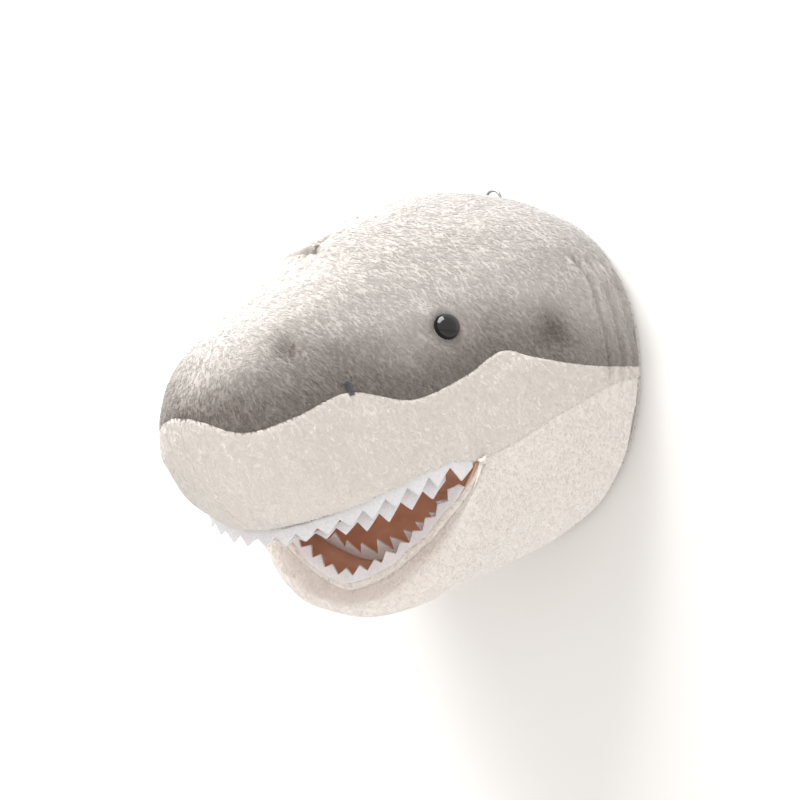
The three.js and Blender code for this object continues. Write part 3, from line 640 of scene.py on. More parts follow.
def head_panel(side, hand, base, low_roll, high_roll, cloth, fibre, fibres, length, name, tones,
               contrast, seed):
    """One hand of a head panel, as its cloth and its pile. hand is 1 for right and -1 for left."""
    grid, normals = shaped_panel(base * [hand, 1, 1], head_core, 0.0006, 0.0006)
    rolled = with_rolled_sides(grid, normals, low_roll, high_roll)
    rimmed = with_rim(rolled, head_core * 0)
    # Painted shade: the cloth's tone is darkened in the tucks, the wrinkles and the pressed places round the
    # eye
    shade = np.pad(tones, ((2, 0), (7, 7)), "edge") * lerp(0.35, 1, trodden(rimmed))
    skin = cloth_piece(f"{name}_{side}_skin", rimmed, head_core, skin_thickness, cloth, shade)
    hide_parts(f"{name}_{side}")
    furred = rolled[:, 3:-3]
    facing = facing_over_roll(grid_normals(furred, head_core), padded_rows(normals, 4, 4))
    tones = padded_rows(tones, 4, 4)
    pile = pile_piece(f"{name}_{side}_pile", furred, facing, fibre, fibres, length, tones, contrast, seed)
    for piece in (skin, pile):
        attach(piece, "head")


# Painted light on the grey: its tone runs from dark at the white to light on the crown and towards the nose,
# evened out near the rim, as painted shade below and a painted top light above, and it is darker in the dimples
# as painted shade
crown_tones_with_painted_light = arc_from_edge(crown_base, 1, False) / lerp(0.045, 0.09, np.clip(along / 0.7, 0, 1))
crown_tones_with_painted_light = np.clip(crown_tones_with_painted_light, 0, 1)
crown_tones_with_painted_light = lerp(0.15, lerp(0.82, 0.96, along), crown_tones_with_painted_light**2 * (3 - 2 * crown_tones_with_painted_light))
crown_tones_with_painted_light = lerp(crown_tones_with_painted_light, 0.75, 0.4 * np.clip(1 - along / 0.3, 0, 1))
# Painted shade in the first three dimples
for place, radius, depth in dimples[:3]:
    away = np.linalg.norm(crown_base - from_plan(place), axis=-1)
    crown_tones_with_painted_light *= 1 - 0.24 * depth * np.exp(-((away / (radius / 1100)) ** 2))
for side, hand in (("right", 1), ("left", -1)):
    head_panel(side, hand, crown_base, 0.0012, 0.0014, grey_backing, grey_fibre, crown_fibres, pile_length,
               "crown", crown_tones_with_painted_light, 1, 100 + hand)

# ---------------------------------------------------------------- white cheek panels
# Cream-white plush of the same pile, from the rim round the mouth to the nose. The two cheeks are
# sewn together under the nose, and their lower edge is turned in over the felt teeth.

# The upper lip from the corner of the mouth to under the nose: forward, angle in degrees
corner_forward = 0.475
upper_lip = [
    [corner_forward, 0],
    [0.570, 0],
    [0.655, -11],
    [0.715, -25],
    [0.760, -41],
    [0.788, -62],
    [0.799, -90],
]
white_dark = (0.82, 0.765, 0.71)
white_light = (0.90, 0.855, 0.81)
white_backing = plush_backing("white_backing", white_dark, white_light)
white_fibre = plush_fibre("white_fibre", white_dark, white_light, 0.93)
cheek_fibres = 64000


def cheek_low_edge(along):
    """Share of the head's length and angle along the throat, the lip and the seam under the nose."""
    corner = 0.4
    front = 0.8
    throat_t = lerp(head_at(rim_forward), head_at(corner_forward), along / corner)
    forward, angle = np.moveaxis(smooth_rows(upper_lip, (along - corner) / (front - corner)), -1, 0)
    nose_t = lerp(head_at(upper_lip[-1][0]), 1, (along - front) / (1 - front))
    t = np.where(along < corner, throat_t, np.where(along <= front, head_at(forward), nose_t))
    low = np.where(along < corner, 0, np.where(along <= front, np.maximum(angle, -90), -90))
    return t, low


throat_rows = np.linspace(0, 0.4, 60)[:-1]
lip_rows = np.linspace(0.4, 0.8, 80)[:-1]
rows = np.concatenate([throat_rows, lip_rows, np.linspace(0.8, 1, 40)])
along, across = np.meshgrid(rows, np.linspace(0, 1, 84), indexing="ij")
low_t, low_angle = cheek_low_edge(along)
high_t = lerp(head_at(rim_forward), 1, along**0.85)
high_angle = colour_edge_angle(high_t)
cheek_base = head_point(lerp(low_t, high_t, across), lerp(low_angle, high_angle, across))
lip_share = np.clip((rows - 0.4) / 0.05, 0, 1) * np.clip((0.83 - rows) / 0.03, 0, 1)
cheek_roll = lerp(0.0011, 0.0022, lip_share)[:, None]
cheek_tones = np.full(along.shape, 0.6)
for side, hand in (("right", 1), ("left", -1)):
    head_panel(side, hand, cheek_base, cheek_roll, 0.0011, white_backing, white_fibre, cheek_fibres,
               white_pile_length, "cheek", cheek_tones, 0.4, 300 + hand)

# ---------------------------------------------------------------- throat and lower jaw
# White plush from the rim under the head to the lower lip, in one soft piece.

# Forward at the side and underneath, height of the underside, squareness
jaw_sections = [
    [0.000, 0.000, -0.963, 2.1],
    [0.127, 0.127, -1.067, 2.1],
    [0.285, 0.285, -1.122, 2.1],
    [0.425, 0.445, -1.243, 2.1],
    [0.462, 0.506, -1.254, 2.0],
    [0.474, 0.532, -1.190, 1.75],
    [0.475, 0.514, -1.101, 1.5],
]


def jaw_point(t, angle):
    """A point of the throat and jaw; the angle is 0 at the right edge, -90 underneath."""
    sections = smooth_rows(jaw_sections, np.asarray(t, float))
    forward_side, forward_under, under, squareness = np.moveaxis(sections, -1, 0)
    wide, edge = np.moveaxis(smooth_rows(head_sections, head_at(forward_side), True), -1, 0)[2:4]
    down = np.sin(np.radians(-angle))
    x = signed_power(np.cos(np.radians(angle)), 2 / squareness) * wide * half_width
    z = (edge - signed_power(down, 2 / squareness) * (edge - under)) * half_height
    return np.stack([x, -lerp(forward_side, forward_under, down) * head_depth, z], -1)


along, across = np.meshgrid(np.linspace(0, 1, 110), np.linspace(0, 1, 210), indexing="ij")
jaw_t = lerp(find_row(jaw_sections, rim_forward), 1, along**0.9)
jaw_base = jaw_point(jaw_t, lerp(-0.2, -179.8, across))
jaw_core = np.array([0, -0.08, -0.06])
grid, normals = shaped_panel(jaw_base, jaw_core, 0.0006, 0.0006)

# The lip is a soft bead that turns inwards over the edge of the lining
corner_height = head_point(head_at(np.array(corner_forward)), 0)[2]
bead_radius = lerp(0.0012, 0.0037, np.clip(np.minimum(across[0], 1 - across[0]) / 0.1, 0, 1))[:, None]
inwards = unit(np.array([0, 0, corner_height]) - grid[-1] * [1, 0, 1])
turns = np.radians([15, 35, 60, 85, 110, 140, 180])[:, None, None]
bead = grid[-1] + bead_radius * (inwards * (1 - np.cos(turns)) + np.array([0, -0.7, 0]) * np.sin(turns))
rolled = np.concatenate([grid, bead, bead[-1:] + [0, 0.003, 0]])
skirted = with_rolled_sides(rolled, grid_normals(rolled, jaw_core), 0.0011, 0.0011)
rimmed = with_rim(skirted, jaw_core * 0)
jaw_skin = cloth_piece("jaw_skin", rimmed, jaw_core, skin_thickness, white_backing,
                       np.full(rimmed.shape[:2], 0.6))
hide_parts("throat_panel", "chin_panel")
furred = rolled[:-1]
jaw_tones = np.full(furred.shape[:2], 0.6)
flat = np.concatenate([normals, np.repeat(normals[-1:], len(furred) - len(normals), 0)])
facing = facing_over_roll(grid_normals(furred, jaw_core), flat)
jaw_fibres = 66000
jaw_pile = pile_piece("jaw_pile", furred, facing, white_fibre, jaw_fibres, white_pile_length, jaw_tones,
                      0.4, 500)
for piece in (jaw_skin, jaw_pile):
    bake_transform(piece)

# ---------------------------------------------------------------- mouth lining
# Terracotta velour in two sheets, the palate above and the bowl of the jaw below, which meet at the
# back of the mouth and in its corners. It's sewn to the lips behind the felt teeth.


def line_through(points):
    """A line along many points; it gives the place and direction at shares of its length."""
    steps = np.linalg.norm(np.diff(points, axis=0), axis=1)
    done = np.concatenate([[0], np.cumsum(steps)]) / steps.sum()
    ways = unit(np.gradient(points, axis=0))

    def at(u):
        place = np.stack([np.interp(u, done, points[:, k]) for k in range(3)], -1)
        way = np.stack([np.interp(u, done, ways[:, k]) for k in range(3)], -1)
        return place, unit(way)

    return at


forward, angle = np.moveaxis(smooth_rows(upper_lip, np.linspace(0, 1, 200)), -1, 0)
half_lip = head_point(head_at(forward), np.maximum(angle, -90))
upper_lip_line = line_through(np.concatenate([half_lip[:-1] * [-1, 1, 1], half_lip[::-1]]))
lower_lip_line = line_through(jaw_point(np.ones(400), np.linspace(-180, 0, 400)))
mouth_corner = half_lip[0]
lining_set_back = 0.0055
arch_height = 0.2 * half_height
bowl_depth = 0.07 * half_height


def into_mouth(way):
    """The level direction from a lip into the mouth."""
    return unit(np.stack([-way[..., 1], way[..., 0], np.zeros(way.shape[:-1])], -1))


def throat_end(u):
    """The closed end of the mouth, a level arc bowed towards the wall."""
    swing = (2 * u - 1) * math.pi / 2
    deep = np.cos(swing)
    x = np.sin(swing) * (mouth_corner[0] - 0.005)
    y = mouth_corner[1] + deep * 0.16 * head_depth
    z = mouth_corner[2] - deep * 0.22 * half_height
    return np.stack([x, y, z], -1)


def palate_point(u, share):
    lip, way = upper_lip_line(u)
    lip = lip + into_mouth(way) * lining_set_back
    point = lerp(throat_end(u), lip, share[..., None])
    arch = np.sin(math.pi * u) * np.sin(math.pi * np.maximum(share, 0) ** 0.7) * arch_height
    point[..., 2] += 0.0003 + arch
    return point


def jaw_lining_point(u, share):
    lip, way = lower_lip_line(u)
    centre = lip * [0, 1, 0] + [0, 0, mouth_corner[2]]
    lip = lip + unit(centre - lip) * lining_set_back
    point = lerp(throat_end(u), lip, share[..., None])
    bowl = np.sin(math.pi * u) * np.sin(math.pi * share) * bowl_depth
    point[..., 2] -= 0.0003 + bowl
    point[..., 1] += bowl / 2
    return point


def velour(name, shade, light):
    """Short velour: a painted sheen as soft mottling between a shaded and a lit tone of the velour, a fine
    grain and a velvet sheen.
    """
    material, nodes, shader, link = new_material(name, light, 0.85)
    # Painted sheen: noise patches between the shaded and the lit tone
    painted_sheen_mottle = add_noise(nodes, link, 45, 5)
    link(add_tones(nodes, link, painted_sheen_mottle, shade, light, 0.3, 0.72), shader.inputs["Base Color"])
    add_bump(nodes, link, shader, add_noise(nodes, link, 1100, 3), 0.35, 0.0006)
    shader.inputs["Sheen Weight"].default_value = 0.5
    shader.inputs["Sheen Roughness"].default_value = 0.35
    shader.inputs["Sheen Tint"].default_value = (1, 0.75, 0.62, 1)
    return material


# The two tones are a shaded and a lit copy of the terracotta
terracotta = velour("terracotta_velour", (0.56, 0.31, 0.205), (0.72, 0.45, 0.33))
u, share = np.meshgrid(np.linspace(0.008, 0.992, 150), np.linspace(-0.03, 1, 48), indexing="ij")
mouth_core = np.array([0, -0.185, -0.1])


def lining_piece(name, grid, core):
    """A lining sheet with soft puckers, and its thickness on the side away from the mouth."""
    puckers = 0.0007 * ripple(grid, 0.03, 41) + 0.0003 * ripple(grid, 0.012, 42)
    puckers *= np.sin(math.pi * np.clip(share, 0, 1)) ** 0.5
    grid = grid - grid_normals(grid, core) * np.abs(puckers[..., None])
    return cloth_piece(name, grid, core, 0.0018, terracotta)


above_palate = np.array([0, -0.16, 0.3])
below_jaw = np.array([0, -0.1, -0.5])
palate = lining_piece("palate_velour", palate_point(u, share), above_palate)
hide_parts("palate_lining")
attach(palate, "head")
jaw_lining = lining_piece("jaw_velour", jaw_lining_point(u, share), below_jaw)
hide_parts("jaw_lining")
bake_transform(jaw_lining)

# ---------------------------------------------------------------- felt teeth
# Four strips of thick white felt, cut to a zigzag edge. Each is sewn in behind a lip or on the
# lining, and its teeth stand a little unevenly, as cut felt does.

felt_thickness = 0.0016
plush_thickness = 0.003


def wool_felt(name, colour):
    """Pressed felt: matted fibres give a soft mottle and a fine uneven surface."""
    material, nodes, shader, link = new_material(name, colour, 0.9)
    matting = add_noise(nodes, link, 420, 6, 1.5)
    dark = [c * 0.86 for c in colour]
    link(add_tones(nodes, link, matting, dark, colour, 0.3, 0.65), shader.inputs["Base Color"])
    add_bump(nodes, link, shader, matting, 0.45, 0.0005)
    shader.inputs["Sheen Weight"].default_value = 0.4
    return material


white_felt = wool_felt("white_felt", (0.78, 0.775, 0.79))


def tooth_strip(name, count, start, end, roots, core, seed):
    """A felt strip with one zigzag edge. roots gives, for shares of the lip, the root, the way to
    the tips, the width of the band above the teeth and their length."""
    random = np.random.default_rng(seed)
    along = np.linspace(0, count, 10 * count + 1)
    root, tooth_way, band, length = roots(lerp(start, end, along / count))
    tooth = np.minimum(along.astype(int), count - 1)
    zigzag = 1.02 - np.sqrt((2 * (along - tooth) - 1) ** 2 + 0.0004)
    own_length = random.uniform(0.9, 1.08, count)[tooth]
    way_along = unit(np.gradient(root, axis=0))
    out = unit(np.cross(way_along, tooth_way))
    out *= np.sign((out * (root - core)).sum(-1).mean())
    curl = random.normal(0.0004, 0.0008, count)[tooth] * zigzag
    lean = random.normal(0, 0.0006, count)[tooth] * zigzag
    down = np.linspace(0, 1, 8)[:, None, None]
    reach = (band + length * own_length * zigzag)[:, None]
    grid = root + tooth_way * reach * down + out * curl[:, None] * down**2 + way_along * lean[:, None] * down
    piece = cloth_piece(name, grid, core, felt_thickness, white_felt)
    return piece


def tooth_growth(u):
    """Share of the full size that the upper teeth have: less under the nose than at the sides."""
    share = np.clip((np.abs(2 * u - 1) - 0.2) / 0.45, 0, 1)
    return share * share * (3 - 2 * share)


def outer_upper_roots(u):
    lip, way = upper_lip_line(u)
    root = lip + into_mouth(way) * (plush_thickness + 0.0003) + [0, 0, 0.002]
    share = lerp(0.7, 1, tooth_growth(u))
    return root, np.broadcast_to([0, 0, -1.0], root.shape), 0.002 + 0.0045 * share, 0.0095 * share


def inner_upper_roots(u):
    lip, way = upper_lip_line(u)
    root = lip + into_mouth(way) * 0.012 - [0, 0, 0.005]
    growth = tooth_growth(u)
    down = np.broadcast_to([0, 0, -1.0], root.shape)
    return root, down, 0.0003 + 0.0085 * growth, 0.0095 * lerp(0.5, 1, growth)


mouth_middle = np.array([0, mouth_corner[1] - 0.12 * head_depth, mouth_corner[2] - 0.1 * half_height])
mouth_back = np.array([0, mouth_corner[1] - 0.04 * head_depth, mouth_corner[2] + 0.15 * half_height])


def outer_lower_roots(u):
    lip, way = lower_lip_line(u)
    tooth_way = unit(mouth_back - lip)
    centre = lip * [0, 1, 0] + [0, 0, mouth_corner[2]]
    root = lip + unit(centre - lip) * 0.0042
    return root, tooth_way, 0.0045, 0.0055


def inner_lower_roots(u):
    root = jaw_lining_point(u, np.full(u.shape, 0.62))
    tooth_way = unit(mouth_middle - root)
    return root + tooth_way * 0.0015, tooth_way, 0.0045, 0.012


# Jaw, row, number of teeth, start and end as shares of the lip, roots, seed
tooth_rows = [
    ("upper", "outer", 20, 0.015, 0.985, outer_upper_roots, 11),
    ("upper", "inner", 17, 0.06, 0.94, inner_upper_roots, 12),
    ("lower", "outer", 17, 0.07, 0.93, outer_lower_roots, 13),
    ("lower", "inner", 13, 0.12, 0.88, inner_lower_roots, 14),
]
for jaw, row, count, start, end, roots, seed in tooth_rows:
    teeth = tooth_strip(f"teeth_{jaw}_{row}", count, start, end, roots, mouth_core, seed)
    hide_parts(f"{jaw}_teeth_{row}")
    if jaw == "upper":
        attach(teeth, "head")
    else:
        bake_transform(teeth)

# ---------------------------------------------------------------- eyes
# Glossy black safety eyes of moulded plastic, 18 mm across. Each has a domed front with a rolled
# edge and a ribbed stem that goes through the cloth into a locking washer.

eye_radius = 0.009
eye_height = 0.007
stem_radius = 0.0022


def finish_piece(piece, place, direction, material):
    """Turns a piece from +Z to a direction, moves it to its place, and leaves its object at the origin."""
    turn = Vector(direction).to_track_quat("Z", "Y").to_matrix().to_4x4()
    piece.matrix_world = Matrix.Translation(place) @ turn
    select_only(piece)
    bpy.ops.object.transform_apply(location=True, rotation=True, scale=True)
    bpy.ops.object.shade_smooth_by_angle(angle=math.radians(40))
    piece.data.materials.clear()
    piece.data.materials.append(material)


def select_where(piece, test):
    """Selects, in edit mode, the faces whose centre passes a test."""
    bpy.ops.object.mode_set(mode="EDIT")
    bpy.ops.mesh.select_mode(type="FACE")
    bpy.ops.mesh.select_all(action="DESELECT")
    bpy.ops.object.mode_set(mode="OBJECT")
    for face in piece.data.polygons:
        face.select = test(face.center, face.normal)
    bpy.ops.object.mode_set(mode="EDIT")


def add_modifier(piece, kind, **settings):
    """Adds a modifier with its settings and applies it."""
    modifier = piece.modifiers.new(kind.lower(), kind)
    for setting, value in settings.items():
        setattr(modifier, setting, value)
    bpy.context.view_layer.objects.active = piece
    bpy.ops.object.modifier_apply(modifier=modifier.name)


def add_gloss_change(nodes, link, shader, source, least, most):
    """Roughness that changes over the piece, from least to most."""
    change = nodes.new("ShaderNodeMapRange")
    change.inputs["To Min"].default_value = least
    change.inputs["To Max"].default_value = most
    link(source, change.inputs["Value"])
    link(change.outputs["Result"], shader.inputs["Roughness"])


eye_black, nodes, shader, link = new_material("eye_black", (0.004, 0.004, 0.005), 0.06)
shader.inputs["Coat Weight"].default_value = 0.3
shader.inputs["Coat Roughness"].default_value = 0.02
shader.inputs["IOR"].default_value = 1.4
add_gloss_change(nodes, link, shader, add_noise(nodes, link, 260, 4), 0.03, 0.12)

eye_t = head_at(np.array(0.513))
eye_rise = smooth_rows(head_sections, eye_t, True)
eye_sine = (0.24 - eye_rise[3]) / (eye_rise[1] - eye_rise[3])
eye_angle = np.degrees(np.arcsin(eye_sine**1.1))


def head_way(t, angle):
    """The direction square to the upper head."""
    along = head_point(t + 0.002, angle) - head_point(t - 0.002, angle)
    across = head_point(t, angle + 0.5) - head_point(t, angle - 0.5)
    way = unit(np.cross(along, across))
    return way * np.sign(way @ (head_point(t, angle) - head_core))


eye_way = head_way(eye_t, eye_angle)
eye_place = head_point(eye_t, eye_angle) - eye_way * 0.0034
for side, hand in (("right", 1), ("left", -1)):
    bpy.ops.object.select_all(action="DESELECT")
    bpy.ops.mesh.primitive_uv_sphere_add(segments=48, ring_count=24, radius=eye_radius, location=(0, 0, 0))
    eye = bpy.context.object
    eye.name = f"eye_{side}_moulding"
    bpy.ops.object.mode_set(mode="EDIT")
    bpy.ops.mesh.bisect(plane_co=(0, 0, 0), plane_no=(0, 0, 1), clear_inner=True, use_fill=True)
    bpy.ops.mesh.select_all(action="SELECT")
    bpy.ops.transform.resize(value=(1, 1, eye_height / eye_radius))
    select_where(eye, lambda centre, normal: normal.z < -0.9)
    bpy.ops.mesh.extrude_region_move(TRANSFORM_OT_translate={"value": (0, 0, -0.0012)})
    bpy.ops.mesh.inset(thickness=0.0012)
    bpy.ops.transform.translate(value=(0, 0, -0.0005))
    bpy.ops.mesh.inset(thickness=eye_radius - 0.0012 - stem_radius)
    for rib in range(6):
        bpy.ops.mesh.extrude_region_move(TRANSFORM_OT_translate={"value": (0, 0, -0.0011)})
        bpy.ops.transform.resize(value=(1.14, 1.14, 1))
        bpy.ops.mesh.extrude_region_move(TRANSFORM_OT_translate={"value": (0, 0, -0.0008)})
        bpy.ops.transform.resize(value=(1 / 1.14, 1 / 1.14, 1))
    bpy.ops.object.mode_set(mode="OBJECT")
    add_modifier(eye, "BEVEL", width=0.00035, segments=3, limit_method="ANGLE", angle_limit=math.radians(50))
    finish_piece(eye, eye_place * [hand, 1, 1], eye_way * [hand, 1, 1], eye_black)
    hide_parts(f"eye_{side}")
    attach(eye, "head")

# The locking washers are natural moulded plastic, pushed onto the stems behind the cloth.
washer_plastic, nodes, shader, link = new_material("washer_plastic", (0.75, 0.75, 0.73), 0.45)
flow = add_noise(nodes, link, 180, 3)
add_gloss_change(nodes, link, shader, flow, 0.35, 0.6)
add_bump(nodes, link, shader, flow, 0.1, 0.0003)
for side in ("right", "left"):
    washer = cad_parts[f"eye_washer_{side}"]
    washer.data.materials.clear()
    washer.data.materials.append(washer_plastic)

# ---------------------------------------------------------------- nostrils and forehead knot
# Thick slate-grey thread. Each nostril is a hooked row of satin stitches sewn over the colour seam,
# and a small knot gathers the forehead into its star of wrinkles.

thread_radius = 0.00045


def twisted_thread(name, colour):
    """Plied sewing thread: fine slanting bands where the plies cross, with painted shade darkening the grooves
    between them.
    """
    material, nodes, shader, link = new_material(name, colour, 0.7)
    place = nodes.new("ShaderNodeTexCoord")
    plies = nodes.new("ShaderNodeTexWave")
    plies.bands_direction = "DIAGONAL"
    plies.inputs["Scale"].default_value = 520
    plies.inputs["Distortion"].default_value = 1.5
    link(place.outputs["Object"], plies.inputs["Vector"])
    # Painted shade in the grooves between the plies
    dark = [c * 0.55 for c in colour]
    link(add_tones(nodes, link, plies.outputs["Fac"], dark, colour), shader.inputs["Base Color"])
    add_bump(nodes, link, shader, plies.outputs["Fac"], 0.6, 0.0003)
    shader.inputs["Sheen Weight"].default_value = 0.3
    return material


def stitches(name, marks, rise, place, direction, material):
    """Loops of thread that leave the cloth and go back in. Each mark is x, y, half span and turn."""
    bpy.ops.object.select_all(action="DESELECT")
    bpy.ops.mesh.primitive_torus_add(major_radius=1, minor_radius=thread_radius / marks[0][2],
                                     major_segments=20, minor_segments=8, rotation=(math.radians(90), 0, 0))
    loop = bpy.context.object
    loop.name = name
    bpy.ops.object.transform_apply(location=True, rotation=True, scale=True)
    bpy.ops.object.mode_set(mode="EDIT")
    bpy.ops.mesh.select_all(action="SELECT")
    bpy.ops.mesh.bisect(plane_co=(0, 0, -0.1), plane_no=(0, 0, 1), clear_inner=True, use_fill=True)
    bpy.ops.object.mode_set(mode="OBJECT")
    for x, y, span, turn in marks[1:]:
        copy = bpy.data.objects.new(name, loop.data.copy())
        bpy.context.scene.collection.objects.link(copy)
        copy.location = (x, y, 0)
        copy.rotation_euler = (0, 0, turn)
        copy.scale = (span, span, span * rise)
        copy.select_set(True)
    x, y, span, turn = marks[0]
    loop.location = (x, y, 0)
    loop.rotation_euler = (0, 0, turn)
    loop.scale = (span, span, span * rise)
    bpy.ops.object.join()
    loop = bpy.context.object
    bpy.ops.object.transform_apply(location=True, rotation=True, scale=True)
    finish_piece(loop, place, direction, material)
    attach(loop, "head")
    return loop


slate_thread = twisted_thread("slate_thread", (0.085, 0.085, 0.1))
nostril_t = head_at(np.array(0.747))
nostril_angle = colour_edge_angle(nostril_t) + 1.5
nostril_way = head_way(nostril_t, nostril_angle)
nostril_place = head_point(nostril_t, nostril_angle) - nostril_way * 0.0004
hook = [(-0.0038, 0.0022), (-0.0030, 0.0032), (-0.0020, 0.0038), (-0.0011, 0.0032), (-0.0007, 0.0022),
        (-0.0005, 0.0012), (-0.0002, 0.0002), (0.0001, -0.0008), (0.0005, -0.0018), (0.0009, -0.0028),
        (0.0013, -0.0038), (0.0016, -0.0048)]
for side, hand in (("right", 1), ("left", -1)):
    marks = [(x * hand, y, 0.0017, 0.25 * hand) for x, y in hook]
    nostril = stitches(f"nostril_{side}_stitches", marks, 0.8, nostril_place * [hand, 1, 1],
                       nostril_way * [hand, 1, 1], slate_thread)
    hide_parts(f"nostril_{side}")

knot_t = head_at(np.array(0.636))
knot_way = head_way(knot_t, 90)
knot_place = head_point(knot_t, 90) - knot_way * 0.0042
marks = [(0, 0, 0.0019, math.radians(turn)) for turn in (0, 45, 90, 135)]
knot = stitches("forehead_knot", marks, 0.8, knot_place, knot_way, slate_thread)
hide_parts("forehead_tuft")

# ---------------------------------------------------------------- stuffing
# Loose white polyester fibre pushed into the neck, the snout and the lower jaw. It fills the cloth
# but settles into soft lumps.

fibre_fill, nodes, shader, link = new_material("fibre_fill", (0.85, 0.84, 0.8), 0.95)
strands = add_noise(nodes, link, 320, 6, 3)
tones = add_tones(nodes, link, strands, (0.66, 0.65, 0.62), (0.88, 0.87, 0.84), 0.35, 0.6)
link(tones, shader.inputs["Base Color"])
add_bump(nodes, link, shader, strands, 0.8, 0.001)
shader.inputs["Sheen Weight"].default_value = 0.3

for part, body in (("neck", "head"), ("snout", "head"), ("jaw", "jaw")):
    wad = bpy.data.objects.new(f"{part}_wad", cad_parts[f"{part}_stuffing"].data.copy())
    bpy.context.scene.collection.objects.link(wad)
    add_modifier(wad, "WELD", merge_threshold=0.00001)
    add_modifier(wad, "REMESH", mode="VOXEL", voxel_size=0.004)
    add_modifier(wad, "SMOOTH", factor=0.8, iterations=8)
    points = np.empty(len(wad.data.vertices) * 3)
    wad.data.vertices.foreach_get("co", points)
    points = points.reshape(-1, 3)
    normals = np.array([vertex.normal for vertex in wad.data.vertices])
    lumps = 0.0016 + 0.0011 * ripple(points, 0.045, 61) + 0.0005 * ripple(points, 0.016, 62)
    points -= normals * np.clip(lumps, 0.0003, 0.004)[:, None]
    wad.data.vertices.foreach_set("co", points.ravel())
    wad.data.shade_smooth()
    wad.data.materials.clear()
    wad.data.materials.append(fibre_fill)
    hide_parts(f"{part}_stuffing")
    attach(wad, body)

# ---------------------------------------------------------------- back board and back cover
# Thin birch plywood keeps the back flat. A cover of grey felt lies over it and is whipped to the rim
# of the plush with grey thread.

plywood, nodes, shader, link = new_material("birch_plywood", (0.72, 0.55, 0.36), 0.55)
grain = add_noise(nodes, link, 1, 8, 0.6, (6, 160, 90))
tones = add_tones(nodes, link, grain, (0.46, 0.3, 0.16), (0.74, 0.57, 0.38), 0.3, 0.65)
link(tones, shader.inputs["Base Color"])
add_bump(nodes, link, shader, grain, 0.25, 0.0004)
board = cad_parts["back_board"]
board.data.materials.clear()
board.data.materials.append(plywood)

cover_thickness = 0.0017
slot_width = 0.019
plate_low, plate_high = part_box("hanger_plate")
ring_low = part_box("hanger_ring")[0]
slot_bottom = ring_low.z - 0.005


def cut_away(piece, size, middle):
    """Cuts a box out of a piece."""
    bpy.ops.object.select_all(action="DESELECT")
    bpy.ops.mesh.primitive_cube_add(size=1, location=middle)
    cutter = bpy.context.object
    cutter.scale = size
    bpy.ops.object.transform_apply(location=True, rotation=True, scale=True)
    add_modifier(piece, "BOOLEAN", operation="DIFFERENCE", object=cutter, solver="EXACT")
    bpy.data.objects.remove(cutter)


upper_half = head_point(np.zeros(60), np.linspace(0, 180, 60, endpoint=False))
lower_half = jaw_point(np.zeros(60), np.linspace(-180, 0, 60, endpoint=False))
rim = np.concatenate([upper_half, lower_half]) * [1, 0, 1]
outline = rim - unit(rim) * 0.0016
grey_felt = wool_felt("grey_felt", (0.46, 0.43, 0.4))
cover = new_mesh_piece("back_cover_felt", outline, [list(range(len(outline)))], grey_felt)
add_modifier(cover, "SOLIDIFY", thickness=cover_thickness, offset=1)
select_only(cover)
select_where(cover, lambda centre, normal: True)
bpy.ops.mesh.normals_make_consistent(inside=False)
bpy.ops.object.mode_set(mode="OBJECT")
low_y = min(vertex.co.y for vertex in cover.data.vertices)
cover.location.y = -cover_thickness - low_y - 0.0002
bpy.ops.object.transform_apply(location=True, rotation=True, scale=True)
slot_size = (slot_width, 0.02, 0.05)
cut_away(cover, slot_size, (0, 0, slot_bottom + 0.025))
plate_room = (plate_high.x - plate_low.x + 0.0008, 0.02, slot_bottom - plate_low.z + 0.002)
cut_away(cover, plate_room, (0, 0, plate_low.z - 0.0004 + plate_room[2] / 2))
add_modifier(cover, "BEVEL", width=0.0004, segments=3, limit_method="ANGLE", angle_limit=math.radians(50))
select_only(cover)
bpy.ops.object.shade_smooth_by_angle(angle=math.radians(40))
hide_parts("back_cover")
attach(cover, "head")

sewn = rim - unit(rim) * 0.0034
edge_place, edge_way = line_through(np.concatenate([sewn, sewn[:1]]))(np.linspace(0, 1, 92, endpoint=False))
marks = []
for (x, _, z), (way_x, _, way_z) in zip(edge_place, edge_way):
    if abs(x) < slot_width / 2 + 0.003 and z > 0:
        continue
    marks.append((-x, z, 0.0023, math.atan2(way_z, -way_x) + math.pi / 2 + 0.5))
felt_thread = twisted_thread("felt_thread", (0.42, 0.39, 0.36))
stitches("back_whip_stitches", marks, 0.32, (0, -0.0006, 0), (0, 1, 0), felt_thread)

# ---------------------------------------------------------------- hanger
# A nickel-plated steel strap with a rolled end, held to the board by two small cross-head screws. A
# wire ring bent to a D turns in the rolled end and stands above the rim.


def brushed_steel(name, colour):
    """Plated steel: faint brush lines and small changes in how sharply it reflects."""
    material, nodes, shader, link = new_material(name, colour, 0.3)
    lines = add_noise(nodes, link, 1, 4, 0, (2600, 2600, 120))
    add_gloss_change(nodes, link, shader, lines, 0.2, 0.42)
    add_bump(nodes, link, shader, lines, 0.12, 0.0002)
    shader.inputs["Metallic"].default_value = 1
    return material


nickel = brushed_steel("nickel_plate", (0.36, 0.36, 0.37))
ring_wire = 0.0011
ring_radius = 0.007
barrel_radius = 0.0025
barrel_width = 0.007
plate_thickness = 0.001
pivot = Vector((0, -0.0034, ring_low.z + ring_wire))


def add_box(name, size, middle):
    """A box at its place, with its size in its mesh."""
    bpy.ops.object.select_all(action="DESELECT")
    bpy.ops.mesh.primitive_cube_add(size=1, location=middle)
    piece = bpy.context.object
    piece.name = name
    piece.scale = size
    bpy.ops.object.transform_apply(location=True, rotation=True, scale=True)
    return piece


